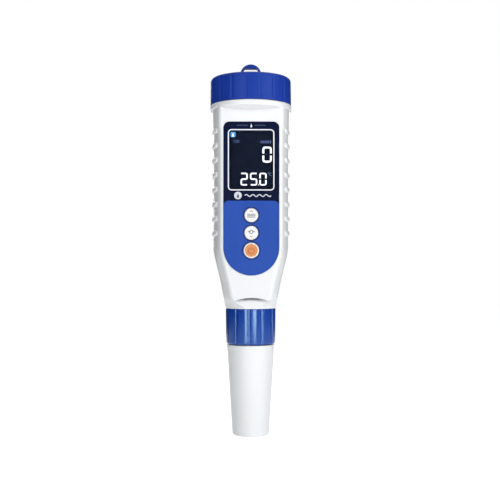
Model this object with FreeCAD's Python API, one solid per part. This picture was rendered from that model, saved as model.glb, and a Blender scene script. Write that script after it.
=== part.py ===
import FreeCAD, Part
import math
import os

Vector = FreeCAD.Vector

# A pen-shaped water tester that measures conductivity and dissolved solids, standing upright on the foot of
# its protective sleeve. The origin is the centre of that foot, +Z runs up the pen and the display faces -Y.
# All sizes are in millimetres.

# Heights along the axis, from the foot up
sleeve_length = 45.0
collar_height = 17.6
body_length = 98.0
flange_height = 2.75
battery_cap_height = 13.3
lug_height = 7.2
seat_gap = 0.15
rim_gap = 0.3

sleeve_top = sleeve_length
collar_bottom = sleeve_top + rim_gap
collar_top = collar_bottom + collar_height
body_bottom = collar_top + seat_gap
flange_bottom = body_bottom + body_length
flange_top = flange_bottom + flange_height
cap_bottom = flange_top + seat_gap
cap_top = cap_bottom + battery_cap_height

# Housing, a D-shaped tube with a flat front that narrows to a round neck
grip_half_width = 18.62
shoulder_step = 0.42
shoulder_below_flange = 8.4
shoulder_run = 4.0
front_depth = 13.8
face_margin = 3.8
corner_radius = 2.4
taper_top_above_body = 28.0
taper_slope = 0.25
taper_ease_above_body = 15.0
taper_ease_slope = 0.055
bend_reach = 3.0
taper_section_count = 8
rounding_above_body = 5.2
rounding_share = 0.86
rounding_section_count = 6
side_wall = 2.2
front_wall = 2.6
floor_thickness = 6.2
flange_overhang = 1.26
flange_edge_radius = 0.6
flange_underside_slope = 0.2
flange_floor = 1.5
flange_root_inset = 1.0

# Arched ledge where the flat front ends above the round neck
ledge_rise = 5.45
ledge_half_width = 11.0
ledge_drop = 2.4
neck_inset = 0.08

# Moulded finger ribs down both sides
rib_count = 8
rib_pitch = 7.18
first_rib_above_body = 37.0
rib_radius = 1.7
rib_proud = 0.8
rib_front_reach = 9.2
rib_back_angle = 30.0

# Screwed necks, top for the battery cap and bottom for the collar
top_neck_wall = 1.95
top_neck_height = 7.6
bottom_neck_radius = 10.4
bottom_neck_wall = 1.5
thread_clearance = 0.35
cutter_overshoot = 1.0

# Front panel with its display window and keypad
panel_half_width = 13.5
panel_top_below_flange = 7.1
panel_height = 74.5
panel_corner = 2.9
panel_recess = 1.3
panel_thickness = 1.25
panel_edge_gap = 0.1
keypad_height = 36.2
keypad_corner = 2.6
keypad_thickness = 0.45
keypad_step = 0.15
keypad_edge_gap = 0.12
display_width = 21.3
display_height = 28.2
display_top_below_panel = 4.6
display_corner = 1.3
lens_lip = 1.2
lens_step = 0.6
lens_gap = 0.06

# Push buttons, listed from the top one down
button_radii = (3.35, 3.35, 3.75)
top_button_above_panel_bottom = 29.15
button_pitch = 8.55
button_travel = 0.5
button_hole_gap = 0.22
button_proud = 0.55
button_edge_radius = 0.5
button_flange_width = 0.5
button_flange_thickness = 0.4
button_pocket_gap = 0.12
button_pocket_in_panel = 0.45
button_stub_radius = 1.5
power_lens_radius = 3.1
power_lens_depth = 0.7

# Electronics
glass_thickness = 1.4
glass_margin = 1.5
window_opening_gap = 0.3
window_corner = 0.8
backlight_thickness = 1.75
backlight_margin = 1.2
glass_ledge = 1.3
strip_height = 2.0
strip_width = 18.0
board_thickness = 1.2
board_half_width = 11.0
board_above_floor = 4.5
board_below_flange = 7.0
board_side_gap = 0.4
boss_radius = 1.7
boss_spacing = 16.4
boss_above_board_bottom = 3.2
boss_below_display = 4.2
board_screw_radius = 0.8
board_screw_bite = 1.5
board_screw_head_radius = 1.5
board_screw_head_height = 0.9
board_screw_hole_gap = 0.05
switch_body_size = 4.4
switch_body_height = 1.2
switch_plunger_radius = 0.9
switch_plunger_height = 0.25
chip_size = 7.0
chip_height = 1.2
chip_above_board = 9.0
fine_gap = 0.05

# Battery compartment, three upright AAA cells in a triangular holder
cell_radius = 5.25
cell_length = 43.3
cell_nub_radius = 1.9
cell_nub_height = 1.2
cell_gap = 0.3
cell_bore_gap = 0.2
holder_web = 0.9
holder_back_gap = 0.25
holder_floor = 1.6
holder_flange_thickness = 1.4
holder_flange_gap = 0.1
holder_seat_width = 0.6
holder_seat_above_flange = 0.5
cell_head_above_neck = 0.6
base_contact_thickness = 0.4
base_contact_radius = 4.2
terminal_radius = 0.8
terminal_above_floor = 2.0

# Battery cap
battery_cap_inset = 0.15
battery_cap_wall = 2.25
battery_cap_draft = 0.2
battery_cap_roof = 2.2
battery_cap_edge = 1.9
battery_cap_groove_count = 18
battery_cap_groove_turn = -8.0
battery_cap_groove_depth = 0.35
battery_cap_groove_radius = 1.8
battery_cap_plain_rim = 0.9
lug_radius = 5.2
lug_thickness = 3.6
lug_flare = 1.8
lug_band = 2.1
lug_slot_half_width = 3.6
lug_slot_height = 4.3
lug_slot_corner = 1.2
lug_edge = 0.4
contact_disc_inset = 3.3
contact_disc_thickness = 1.4
contact_strip_thickness = 0.35
contact_strip_width = 3.2
disc_screw_radius = 1.2
disc_screw_head_radius = 2.2
disc_screw_head_height = 1.1
disc_screw_bite = 1.4
running_gap = 0.08

# Seals
cap_seal_width = 1.6
cap_seal_height = 1.3
probe_seal_width = 1.4
probe_seal_height = 1.3
sleeve_seal_width = 1.2
sleeve_seal_height = 1.2
seal_gap = 0.05
groove_slack = 0.12

# Plug-in probe
collar_radius = 12.42
collar_draft = 0.2
collar_edge = 1.0
collar_lip = 3.4
collar_groove_count = 12
collar_groove_depth = 0.42
collar_groove_radius = 1.7
collar_groove_turn = -5.0
probe_waist_radius = 8.45
lip_gap = 0.3
lip_seat_gap = 0.15
probe_flange_thickness = 2.2
probe_flange_gap = 0.2
probe_spigot_length = 5.4
probe_spigot_gap = 0.12
sleeve_fit_gap = 0.3
probe_barrel_length = 15.0
carrier_below_sleeve_top = 0.4
sleeve_seal_below_top = 6.0
probe_joint_length = 3.0
probe_tube_radius = 6.4
probe_tube_length = 6.0
guard_radius = 6.0
guard_fit_gap = 0.05
guard_wall = 1.1
guard_length = 14.0
guard_slot_width = 4.2
guard_foot_ring = 2.2
guard_head_ring = 0.8
guard_socket_length = 4.0
electrode_radius = 1.0
electrode_spacing = 4.6
electrode_length = 11.0
electrode_root = 3.0
thermistor_radius = 1.25
thermistor_length = 9.0
thermistor_offset = 2.4

# Probe connector
contact_pin_radius = 0.5
contact_pin_circle = 4.6
contact_pin_count = 4
contact_pin_length = 6.0
contact_pin_root = 2.5
probe_seal_above_flange = 1.1
socket_hole_gap = 0.05
socket_gap = 0.05
socket_head_height = 1.6
socket_head_overhang = 1.2
plug_gap = 0.4
flex_width = 9.0
flex_thickness = 0.3
flex_overlap = 5.0

# Protective sleeve
sleeve_top_radius = 11.9
sleeve_foot_radius = 9.15
sleeve_wall = 1.3
sleeve_floor = 1.6
sleeve_foot_edge = 0.9

# Places worked out from the sizes above
front_y = -front_depth
panel_floor_y = front_y + panel_recess
wall_inner_y = front_y + front_wall
panel_face_y = panel_floor_y - panel_thickness
panel_top = flange_bottom - panel_top_below_flange
panel_bottom = panel_top - panel_height
keypad_top = panel_bottom + keypad_height
display_top = panel_top - display_top_below_panel
display_bottom = display_top - display_height
keypad_back_y = panel_face_y + keypad_step
keypad_face_y = keypad_back_y - keypad_thickness
glass_front_y = panel_floor_y + fine_gap
glass_back_y = glass_front_y + glass_thickness
backlight_back_y = glass_back_y + backlight_thickness
board_front_y = backlight_back_y + fine_gap
board_back_y = board_front_y + board_thickness
cavity_bottom = body_bottom + floor_thickness
board_bottom = cavity_bottom + board_above_floor
board_top = flange_bottom - board_below_flange
button_heights = [panel_bottom + top_button_above_panel_bottom - button_pitch * i for i in range(3)]
stub_end_y = board_front_y - switch_body_height - switch_plunger_height - button_travel - fine_gap
lip_top = collar_bottom + collar_lip
probe_flange_bottom = lip_top + lip_seat_gap
probe_flange_top = probe_flange_bottom + probe_flange_thickness
bottom_neck_end = probe_flange_top + probe_flange_gap
spigot_top = probe_flange_top + probe_spigot_length
socket_bottom = spigot_top + plug_gap
socket_top = cavity_bottom + socket_head_height
barrel_bottom = sleeve_top - carrier_below_sleeve_top - probe_barrel_length
tube_top = barrel_bottom - probe_joint_length
tube_bottom = tube_top - probe_tube_length
guard_bottom = tube_bottom - guard_length
guard_bore = guard_radius - guard_wall
guard_spigot_end = tube_bottom - guard_socket_length
bottom_bore = bottom_neck_radius - bottom_neck_wall
probe_seal_bore = bottom_bore - seal_gap - probe_seal_width
flange_radius = grip_half_width + shoulder_step + flange_overhang
battery_cap_radius = flange_radius - battery_cap_inset
cap_bore = battery_cap_radius - battery_cap_wall
top_neck_radius = cap_bore - thread_clearance
top_bore = top_neck_radius - top_neck_wall
lower_bore = top_bore - holder_seat_width
neck_top = flange_top + top_neck_height
cap_seal_bore = cap_bore - seal_gap - cap_seal_width
cap_ceiling = cap_top - battery_cap_roof
disc_top = cap_ceiling - running_gap
contact_disc_radius = cap_bore - contact_disc_inset
disc_bottom = disc_top - contact_disc_thickness
holder_seat = flange_top + holder_seat_above_flange
cell_top = neck_top + cell_head_above_neck
cell_foot = cell_top - cell_length - cell_nub_height
holder_inner_floor = cell_foot - base_contact_thickness
holder_foot = holder_inner_floor - holder_floor
cell_circle = (2 * cell_radius + cell_gap) / math.sqrt(3)
lobe_radius = cell_radius + cell_bore_gap + holder_web
compartment_radius = min(lower_bore, grip_half_width - side_wall)
cell_group_y = compartment_radius - holder_back_gap - cell_circle - lobe_radius
button_flange_front = panel_floor_y - button_pocket_in_panel
boss_heights = (board_bottom + boss_above_board_bottom, display_bottom - boss_below_display)
boss_places = [(side * boss_spacing / 2, z) for side in (-1, 1) for z in boss_heights]


def cylinder(radius, bottom, top, x=0.0, y=0.0):
    return Part.makeCylinder(radius, top - bottom, Vector(x, y, bottom))


def tube(outer, inner, bottom, top):
    return cylinder(outer, bottom, top).cut(cylinder(inner, bottom, top))


def front_cylinder(radius, front, back, x, z):
    """A round bar along Y, from the nearer face at front to the one at back."""
    return Part.makeCylinder(radius, back - front, Vector(x, front, z), Vector(0, 1, 0))


def turned(profile):
    """A solid turned about the axis from (radius, height) corners."""
    corners = [Vector(radius, 0, height) for radius, height in profile]
    outline = Part.makePolygon(corners + corners[:1])
    return Part.Face(outline).revolve(Vector(0, 0, 0), Vector(0, 0, 1), 360)


def rounded_plate(half_width, bottom, top, corner, front, back):
    """An upright plate with four round corners, from its front face to its back face."""
    box = Part.makeBox(2 * half_width, back - front, top - bottom, Vector(-half_width, front, bottom))
    upright = [e for e in box.Edges if abs(e.tangentAt(e.FirstParameter).y) > 0.99]
    return box.makeFillet(corner, upright)


def tongue_plate(half_width, bottom, top, corner, front, back):
    """An upright plate with two round top corners and a half-round bottom end."""
    turn = math.sqrt(0.5) * corner
    left = Vector(-half_width, front, bottom + half_width)
    right = Vector(half_width, front, bottom + half_width)
    edges = [
        Part.Arc(left, Vector(0, front, bottom), right).toShape(),
        Part.LineSegment(right, Vector(half_width, front, top - corner)).toShape(),
        Part.Arc(
            Vector(half_width, front, top - corner),
            Vector(half_width - corner + turn, front, top - corner + turn),
            Vector(half_width - corner, front, top),
        ).toShape(),
        Part.LineSegment(
            Vector(half_width - corner, front, top), Vector(corner - half_width, front, top)
        ).toShape(),
        Part.Arc(
            Vector(corner - half_width, front, top),
            Vector(corner - half_width - turn, front, top - corner + turn),
            Vector(-half_width, front, top - corner),
        ).toShape(),
        Part.LineSegment(Vector(-half_width, front, top - corner), left).toShape(),
    ]
    return Part.Face(Part.Wire(edges)).extrude(Vector(0, back - front, 0))


def around(shape, count, start=0.0):
    """Copies of a shape at even turns about the axis."""
    copies = []
    for i in range(count):
        copy = shape.copy()
        copy.rotate(Vector(0, 0, 0), Vector(0, 0, 1), start + 360.0 * i / count)
        copies.append(copy)
    return copies


def soft_ramp(distance):
    """Nought above a bend and equal to the distance below it, with a parabola across the bend itself."""
    if distance <= -bend_reach:
        return 0.0
    if distance >= bend_reach:
        return distance
    return (distance + bend_reach) ** 2 / (4 * bend_reach)


def smooth_step(share):
    share = min(1.0, max(0.0, share))
    return share * share * (3 - 2 * share)


def half_width_at(z):
    """Half the housing's width: parallel at the grip, wider above it and tapered below it."""
    shoulder_bottom = flange_bottom - shoulder_below_flange - shoulder_run
    widened = shoulder_step * smooth_step((z - shoulder_bottom) / shoulder_run)
    tapered = taper_slope * soft_ramp(body_bottom + taper_top_above_body - z)
    eased = taper_ease_slope * soft_ramp(body_bottom + taper_ease_above_body - z)
    return grip_half_width + widened - tapered + eased


neck_radius = half_width_at(body_bottom) - neck_inset


def rounding(z):
    """How far the outline has turned from a D into a circle, from nought to one at the body's lower end."""
    return smooth_step((body_bottom + rounding_above_body - z) / rounding_above_body)


def side_arc_radius(margin, front):
    return (margin * margin + front * front) / (2 * margin)


def section_arcs(z, side_inset, front_inset):
    """The half-width, front depth, side arc and corner arc of the outline at a height."""
    share = rounding(z)
    whole = half_width_at(z)
    half = whole - side_inset
    front = front_depth + (whole - front_depth) * share - front_inset
    margin = face_margin + (rounding_share * whole - face_margin) * share
    corner = max(corner_radius - side_inset, corner_radius / 2)
    side = side_arc_radius(margin, front)
    corner_x = half - side + math.sqrt((side - corner) ** 2 - (front - corner) ** 2)
    return half, front, side, corner, corner_x


def body_section(z, side_inset=0.0, front_inset=0.0):
    """The housing's outline at a height: flat front, rounded corners, bowed sides and a half-round back."""
    half, front, side, corner, corner_x = section_arcs(z, side_inset, front_inset)
    side_x = half - side
    corner_y = corner - front
    reach = side / (side - corner)
    join_x = side_x + (corner_x - side_x) * reach
    join_y = corner_y * reach
    turn = math.atan2(join_y - corner_y, join_x - corner_x)
    half_turn = (turn - math.pi / 2) / 2
    mid_x = corner_x + corner * math.cos(half_turn)
    mid_y = corner_y + corner * math.sin(half_turn)
    side_turn = math.atan2(join_y, join_x - side_x) / 2
    bow_x = side_x + side * math.cos(side_turn)
    bow_y = side * math.sin(side_turn)

    def at(x, y):
        return Vector(x, y, z)

    edges = [
        Part.LineSegment(at(-corner_x, -front), at(corner_x, -front)).toShape(),
        Part.Arc(at(corner_x, -front), at(mid_x, mid_y), at(join_x, join_y)).toShape(),
        Part.Arc(at(join_x, join_y), at(bow_x, bow_y), at(half, 0)).toShape(),
        Part.Arc(at(half, 0), at(0, half), at(-half, 0)).toShape(),
        Part.Arc(at(-half, 0), at(-bow_x, bow_y), at(-join_x, join_y)).toShape(),
        Part.Arc(at(-join_x, join_y), at(-mid_x, mid_y), at(-corner_x, -front)).toShape(),
    ]
    return Part.Wire(edges)


def cavity_half_width(z, y):
    """Half the width inside the housing at a height and at a depth in front of the axis."""
    half, front, side, corner, corner_x = section_arcs(z, side_wall, front_wall)
    corner_y = corner - front
    if y < corner_y * side / (side - corner):
        return corner_x + math.sqrt(corner**2 - (y - corner_y) ** 2)
    return half - side + math.sqrt(side**2 - y**2)


def even_heights(bottom, top, steps):
    return [bottom + (top - bottom) * i / steps for i in range(steps + 1)]


def lofted(heights, side_inset=0.0, front_inset=0.0, ruled=False):
    sections = [body_section(z, side_inset, front_inset) for z in heights]
    return Part.makeLoft(sections, True, ruled)


def parallel(bottom, top, side_inset=0.0, front_inset=0.0):
    section = body_section(bottom, side_inset, front_inset)
    return Part.Face(section).extrude(Vector(0, 0, top - bottom))


def cavity(top):
    """The hollow of the housing: a plain taper from its floor and the parallel grip above it."""
    bend = body_bottom + taper_top_above_body
    heights = [cavity_bottom, bend - bend_reach, bend + bend_reach]
    taper = lofted(heights, side_wall, front_wall, True)
    return taper.fuse(parallel(heights[-1], top, side_wall, front_wall))


def finger_rib(z):
    """One rib round the right-hand side: a bar bent to the side's own curve, with ball ends."""
    side = side_arc_radius(face_margin, front_depth)
    start_x = grip_half_width + rib_proud - rib_radius
    bend_x = grip_half_width - side
    front_angle = math.degrees(math.asin(rib_front_reach / (start_x - bend_x)))
    disc = Part.Face(Part.Wire(Part.makeCircle(rib_radius, Vector(start_x, 0, z), Vector(0, 1, 0))))
    front_bar = disc.revolve(Vector(bend_x, 0, z), Vector(0, 0, -1), front_angle)
    back_bar = disc.revolve(Vector(0, 0, z), Vector(0, 0, 1), rib_back_angle)
    front_x = bend_x + (start_x - bend_x) * math.cos(math.radians(front_angle))
    back_turn = math.radians(rib_back_angle)
    front_end = Part.makeSphere(rib_radius, Vector(front_x, -rib_front_reach, z))
    back_end = Part.makeSphere(
        rib_radius, Vector(start_x * math.cos(back_turn), start_x * math.sin(back_turn), z)
    )
    return front_bar.fuse([back_bar, front_end, back_end]).removeSplitter()


def ledge_cutter():
    """Everything in front of the neck and below the arch that ends the flat front."""
    front = -front_depth - cutter_overshoot
    low = body_bottom - cutter_overshoot
    side_z = body_bottom + ledge_rise - ledge_drop
    left = Vector(-ledge_half_width, front, side_z)
    right = Vector(ledge_half_width, front, side_z)
    arch = Part.Arc(left, Vector(0, front, body_bottom + ledge_rise), right).toShape()
    down = Part.makePolygon(
        [right, Vector(ledge_half_width, front, low), Vector(-ledge_half_width, front, low), left]
    )
    outline = Part.Face(Part.Wire([arch] + down.Edges))
    return outline.extrude(Vector(0, -neck_radius - front, 0))


def top_flange():
    """The round flange under the battery cap, with a rounded rim and a shallow cone below it."""
    edge = flange_edge_radius
    inset = edge * (1 - math.sqrt(0.5))
    rim = flange_radius
    root = front_depth - flange_root_inset
    root_z = flange_bottom - flange_underside_slope * (rim - root)

    def at(x, z):
        return Vector(x, 0, z)

    edges = [
        Part.LineSegment(at(0, root_z), at(root, root_z)).toShape(),
        Part.LineSegment(at(root, root_z), at(rim - edge, flange_bottom)).toShape(),
        Part.Arc(
            at(rim - edge, flange_bottom),
            at(rim - inset, flange_bottom + inset),
            at(rim, flange_bottom + edge),
        ).toShape(),
        Part.LineSegment(at(rim, flange_bottom + edge), at(rim, flange_top - edge)).toShape(),
        Part.Arc(
            at(rim, flange_top - edge), at(rim - inset, flange_top - inset), at(rim - edge, flange_top)
        ).toShape(),
        Part.LineSegment(at(rim - edge, flange_top), at(0, flange_top)).toShape(),
        Part.LineSegment(at(0, flange_top), at(0, root_z)).toShape(),
    ]
    return Part.Face(Part.Wire(edges)).revolve(Vector(0, 0, 0), Vector(0, 0, 1), 360)


def body_shell():
    """The outside of the housing as one solid: body, ribs, flange and both screwed necks."""
    grip_bottom = body_bottom + taper_top_above_body + bend_reach
    shoulder_top = flange_bottom - shoulder_below_flange
    shoulder_bottom = shoulder_top - shoulder_run
    rounding_top = body_bottom + rounding_above_body
    foot = lofted(even_heights(body_bottom, rounding_top, rounding_section_count))
    taper = lofted(even_heights(rounding_top, grip_bottom, taper_section_count))
    pieces = [
        foot.fuse(taper).cut(ledge_cutter()),
        parallel(grip_bottom, shoulder_bottom),
        lofted([shoulder_bottom, shoulder_top], ruled=True),
        parallel(shoulder_top, flange_bottom + flange_floor),
    ]
    pieces.append(cylinder(neck_radius, body_bottom, cavity_bottom))
    pieces.append(top_flange())
    pieces.append(cylinder(top_neck_radius, flange_top - flange_floor, neck_top))
    pieces.append(cylinder(bottom_neck_radius, bottom_neck_end, body_bottom + fine_gap))
    for i in range(rib_count):
        rib = finger_rib(body_bottom + first_rib_above_body + rib_pitch * i)
        pieces.append(rib)
        pieces.append(rib.mirror(Vector(0, 0, 0), Vector(1, 0, 0)))
    return pieces[0].fuse(pieces[1:])


def housing():
    """The one-piece outer case, hollow, with openings for the panel, display and buttons."""
    shell = body_shell()
    hollow_top = flange_bottom + flange_floor
    hollow = cavity(hollow_top)
    cuts = [
        hollow,
        cylinder(lower_bore, hollow_top - fine_gap, holder_seat),
        cylinder(top_bore, holder_seat, neck_top),
        cap_seal_groove(),
        cylinder(bottom_bore, bottom_neck_end, cavity_bottom + fine_gap),
        panel_recess_cut(),
        window_cut(),
    ]
    for z, radius in zip(button_heights, button_radii):
        pocket = radius + button_flange_width + button_pocket_gap
        pocket_depth = button_flange_thickness + button_travel + fine_gap - button_pocket_in_panel
        cuts.append(front_cylinder(pocket, panel_floor_y, panel_floor_y + pocket_depth, 0, z))
        cuts.append(
            front_cylinder(button_stub_radius + button_pocket_gap, panel_floor_y, wall_inner_y, 0, z)
        )
    boss_front = wall_inner_y - fine_gap
    bosses = [front_cylinder(boss_radius, boss_front, board_front_y, x, z) for x, z in boss_places]
    screws = [
        front_cylinder(board_screw_radius, board_front_y - board_screw_bite, board_front_y, x, z)
        for x, z in boss_places
    ]
    return shell.cut(cuts).fuse(bosses).cut(screws)


def panel_recess_cut():
    half = panel_half_width + panel_edge_gap
    low = panel_bottom - panel_edge_gap
    high = panel_top + panel_edge_gap
    front = front_y - cutter_overshoot
    return tongue_plate(half, low, high, panel_corner + panel_edge_gap, front, panel_floor_y)


def window_cut():
    """The opening in the front wall that the display glass sits in."""
    half = display_width / 2 + glass_margin + window_opening_gap
    edge = glass_margin + window_opening_gap
    low = display_bottom - edge
    high = display_top + edge
    back = wall_inner_y + cutter_overshoot
    return rounded_plate(half, low, high, window_corner, panel_floor_y - fine_gap, back)


def cap_seal_groove():
    outer = top_neck_radius + cutter_overshoot
    return tube(outer, cap_seal_bore, flange_top, flange_top + cap_seal_height + groove_slack)


def cap_seal():
    """Flat rubber ring in a groove at the foot of the top neck, inside the battery cap's rim."""
    return tube(cap_bore - seal_gap, cap_seal_bore, flange_top, flange_top + cap_seal_height)


def front_panel():
    """The dark front plate, with the display opening and a shallow rebate under the keypad."""
    front = panel_face_y - cutter_overshoot
    back = panel_floor_y + cutter_overshoot
    plate = tongue_plate(
        panel_half_width, panel_bottom, panel_top, panel_corner, panel_face_y, panel_floor_y
    )
    rebate = tongue_plate(
        panel_half_width + keypad_edge_gap,
        panel_bottom - keypad_edge_gap,
        keypad_top + keypad_edge_gap,
        keypad_corner + keypad_edge_gap,
        front,
        keypad_back_y,
    )
    cuts = [rebate, display_plate(0, front, panel_floor_y)]
    cuts.append(display_plate(lens_lip, panel_floor_y - lens_step, back))
    for z, radius in zip(button_heights, button_radii):
        cuts.append(front_cylinder(radius + button_hole_gap, front, panel_floor_y, 0, z))
        pocket = radius + button_flange_width + button_pocket_gap
        cuts.append(front_cylinder(pocket, button_flange_front, back, 0, z))
    return plate.cut(cuts)


def display_plate(margin, front, back):
    """A plate of the display's outline, wider by a margin all round."""
    return rounded_plate(
        display_width / 2 + margin,
        display_bottom - margin,
        display_top + margin,
        display_corner + max(margin, 0),
        front,
        back,
    )


def display_lens():
    """Clear window that drops into the panel from behind and stops on its own lip."""
    step_y = panel_floor_y - lens_step
    face = display_plate(-lens_gap, panel_face_y, step_y)
    lip = display_plate(lens_lip - lens_gap, step_y, panel_floor_y)
    return face.fuse(lip).removeSplitter()


def keypad_overlay():
    """The raised keypad plate, with round holes for the buttons."""
    plate = tongue_plate(
        panel_half_width, panel_bottom, keypad_top, keypad_corner, keypad_face_y, keypad_back_y
    )
    front = keypad_face_y - cutter_overshoot
    holes = [
        front_cylinder(radius + button_hole_gap, front, keypad_back_y + cutter_overshoot, 0, z)
        for z, radius in zip(button_heights, button_radii)
    ]
    return plate.cut(holes)


def button(index):
    """A push button with a flange that holds it behind the panel and a stub that works its switch."""
    radius = button_radii[index]
    z = button_heights[index]
    face_y = keypad_face_y - button_proud
    flange_back = button_flange_front + button_flange_thickness
    cap = front_cylinder(radius, face_y, flange_back, 0, z)
    rim = [e for e in cap.Edges if len(e.Vertexes) == 1 and abs(e.CenterOfMass.y - face_y) < 0.001]
    cap = cap.makeFillet(button_edge_radius, rim)
    flange = front_cylinder(radius + button_flange_width, button_flange_front, flange_back, 0, z)
    stub = front_cylinder(button_stub_radius, flange_back, stub_end_y, 0, z)
    return cap.fuse([flange, stub]).removeSplitter()


def power_button():
    return button(2).cut(power_lens())


def power_lens():
    face_y = keypad_face_y - button_proud
    return front_cylinder(power_lens_radius, face_y, face_y + power_lens_depth, 0, button_heights[-1])


def lcd_glass():
    """Two bonded panes, the rear one longer so that its lower edge carries the contacts."""
    half = display_width / 2 + glass_margin
    middle = (glass_front_y + glass_back_y) / 2
    top = display_top + glass_margin
    ledge_bottom = display_bottom - glass_margin
    front = Part.makeBox(
        2 * half,
        middle - glass_front_y,
        top - ledge_bottom - glass_ledge,
        Vector(-half, glass_front_y, ledge_bottom + glass_ledge),
    )
    rear_corner = Vector(-half, middle, ledge_bottom)
    rear = Part.makeBox(2 * half, glass_back_y - middle, top - ledge_bottom, rear_corner)
    return front.fuse(rear).removeSplitter()


def lcd_backlight():
    half = display_width / 2 + backlight_margin
    bottom = display_bottom - glass_margin + strip_height + fine_gap
    height = display_top + backlight_margin - bottom
    return Part.makeBox(2 * half, backlight_thickness, height, Vector(-half, glass_back_y, bottom))


def lcd_contact_strip():
    """Springy strip that joins the glass to the board below the backlight."""
    bottom = display_bottom - glass_margin
    depth = board_front_y - glass_back_y
    return Part.makeBox(strip_width, depth, strip_height, Vector(-strip_width / 2, glass_back_y, bottom))


def main_board():
    """The circuit board, narrowed at its lower end to suit the taper of the housing."""
    bend = body_bottom + taper_top_above_body - bend_reach
    foot_half = min(board_half_width, cavity_half_width(board_bottom, board_front_y) - board_side_gap)
    bend_half = min(board_half_width, cavity_half_width(bend, board_front_y) - board_side_gap)
    corners = [
        (-foot_half, board_bottom),
        (foot_half, board_bottom),
        (bend_half, bend),
        (bend_half, board_top),
        (-bend_half, board_top),
        (-bend_half, bend),
    ]
    points = [Vector(x, board_front_y, z) for x, z in corners]
    outline = Part.makePolygon(points + points[:1])
    board = Part.Face(outline).extrude(Vector(0, board_thickness, 0))
    hole_radius = board_screw_radius + board_screw_hole_gap
    front = board_front_y - cutter_overshoot
    back = board_back_y + cutter_overshoot
    holes = [front_cylinder(hole_radius, front, back, x, z) for x, z in boss_places]
    return board.cut(holes)


def board_screws():
    screws = []
    for x, z in boss_places:
        shank = front_cylinder(board_screw_radius, board_front_y - board_screw_bite, board_back_y, x, z)
        head_back = board_back_y + board_screw_head_height
        head = front_cylinder(board_screw_head_radius, board_back_y, head_back, x, z)
        screws.append(shank.fuse(head))
    return Part.makeCompound(screws)


def tact_switches():
    switches = []
    half = switch_body_size / 2
    body_front = board_front_y - switch_body_height
    for z in button_heights:
        body = Part.makeBox(
            switch_body_size, switch_body_height, switch_body_size, Vector(-half, body_front, z - half)
        )
        plunger = front_cylinder(switch_plunger_radius, body_front - switch_plunger_height, body_front, 0, z)
        switches.append(body.fuse(plunger))
    return Part.makeCompound(switches)


def controller_chip():
    bottom = board_bottom + chip_above_board
    return Part.makeBox(chip_size, chip_height, chip_size, Vector(-chip_size / 2, board_back_y, bottom))


def cell_places():
    """Axes of the three cells: one at the back and two at the front."""
    places = []
    for angle in (90, 210, 330):
        turn = math.radians(angle)
        places.append((cell_circle * math.cos(turn), cell_group_y + cell_circle * math.sin(turn)))
    return places


def battery_holder():
    """Three joined tubes under a round flange that rests on the step in the top neck."""
    rim_radius = top_bore - holder_flange_gap
    body = cylinder(rim_radius, holder_seat, holder_seat + holder_flange_thickness)
    lobes = [cylinder(lobe_radius, holder_foot, holder_seat, x, y) for x, y in cell_places()]
    bores = [
        cylinder(cell_radius + cell_bore_gap, holder_inner_floor, neck_top, x, y) for x, y in cell_places()
    ]
    return body.fuse(lobes).cut(bores)


def battery_cells():
    """Three cells side by side, the front left one upside down so that they join in series."""
    cells = []
    for (x, y), upside_down in zip(cell_places(), (False, True, False)):
        low = cell_foot
        nub_low = cell_foot + cell_length
        if upside_down:
            low = cell_foot + cell_nub_height
            nub_low = cell_foot
        can = cylinder(cell_radius, low, low + cell_length, x, y)
        nub = cylinder(cell_nub_radius, nub_low, nub_low + cell_nub_height, x, y)
        cells.append(can.fuse(nub))
    return Part.makeCompound(cells)


def base_contacts():
    top = holder_inner_floor + base_contact_thickness
    plates = [cylinder(base_contact_radius, holder_inner_floor, top, x, y) for x, y in cell_places()]
    return Part.makeCompound(plates)


def battery_terminals():
    """Two pins that carry the battery's current from the holder to the back of the board."""
    pins = []
    z = holder_foot + terminal_above_floor
    for x, y in cell_places()[1:]:
        pins.append(front_cylinder(terminal_radius, board_back_y, y - lobe_radius - fine_gap, x, z))
    return Part.makeCompound(pins)


def probe_socket():
    """Insulating socket in the floor of the housing, with a hole for each pin of the probe."""
    head_radius = bottom_bore + socket_head_overhang
    body = cylinder(bottom_bore - socket_gap, socket_bottom, cavity_bottom)
    head = cylinder(head_radius, cavity_bottom, socket_top)
    hole_top = spigot_top + contact_pin_length + fine_gap
    hole_radius = contact_pin_radius + socket_hole_gap
    holes = [cylinder(hole_radius, socket_bottom, hole_top, x, y) for x, y in pin_places()]
    return body.fuse(head).cut(holes)


def probe_flex():
    """Flat ribbon from the top of the socket to the back of the board."""
    height = board_bottom + flex_overlap - socket_top
    corner = Vector(-flex_width / 2, board_back_y, socket_top)
    return Part.makeBox(flex_width, flex_thickness, height, corner)


def contact_disc():
    """Insulating disc under the battery cap's roof, which stays still while the cap turns."""
    hole = cylinder(disc_screw_radius + running_gap, disc_bottom, disc_top)
    return cylinder(contact_disc_radius, disc_bottom, disc_top).cut(hole)


def contact_springs():
    """A strip that bridges two cells and a single pad over the third, each with a round pip."""
    places = cell_places()
    strip_bottom = disc_bottom - contact_strip_thickness
    pip_bottom = cell_top + fine_gap
    span = 2 * cell_radius + cell_gap
    strip = Part.makeBox(
        span, contact_strip_width, contact_strip_thickness, Vector(0, -contact_strip_width / 2, strip_bottom)
    )
    back_x, back_y = places[0]
    right_x, right_y = places[2]
    turn = math.degrees(math.atan2(right_y - back_y, right_x - back_x))
    strip.rotate(Vector(0, 0, 0), Vector(0, 0, 1), turn)
    strip.translate(Vector(back_x, back_y, 0))
    pads = [cylinder(contact_strip_width / 2, pip_bottom, disc_bottom, x, y) for x, y in places]
    bridge = strip.fuse([pads[0], pads[2]])
    return Part.makeCompound([bridge, pads[1]])


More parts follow.
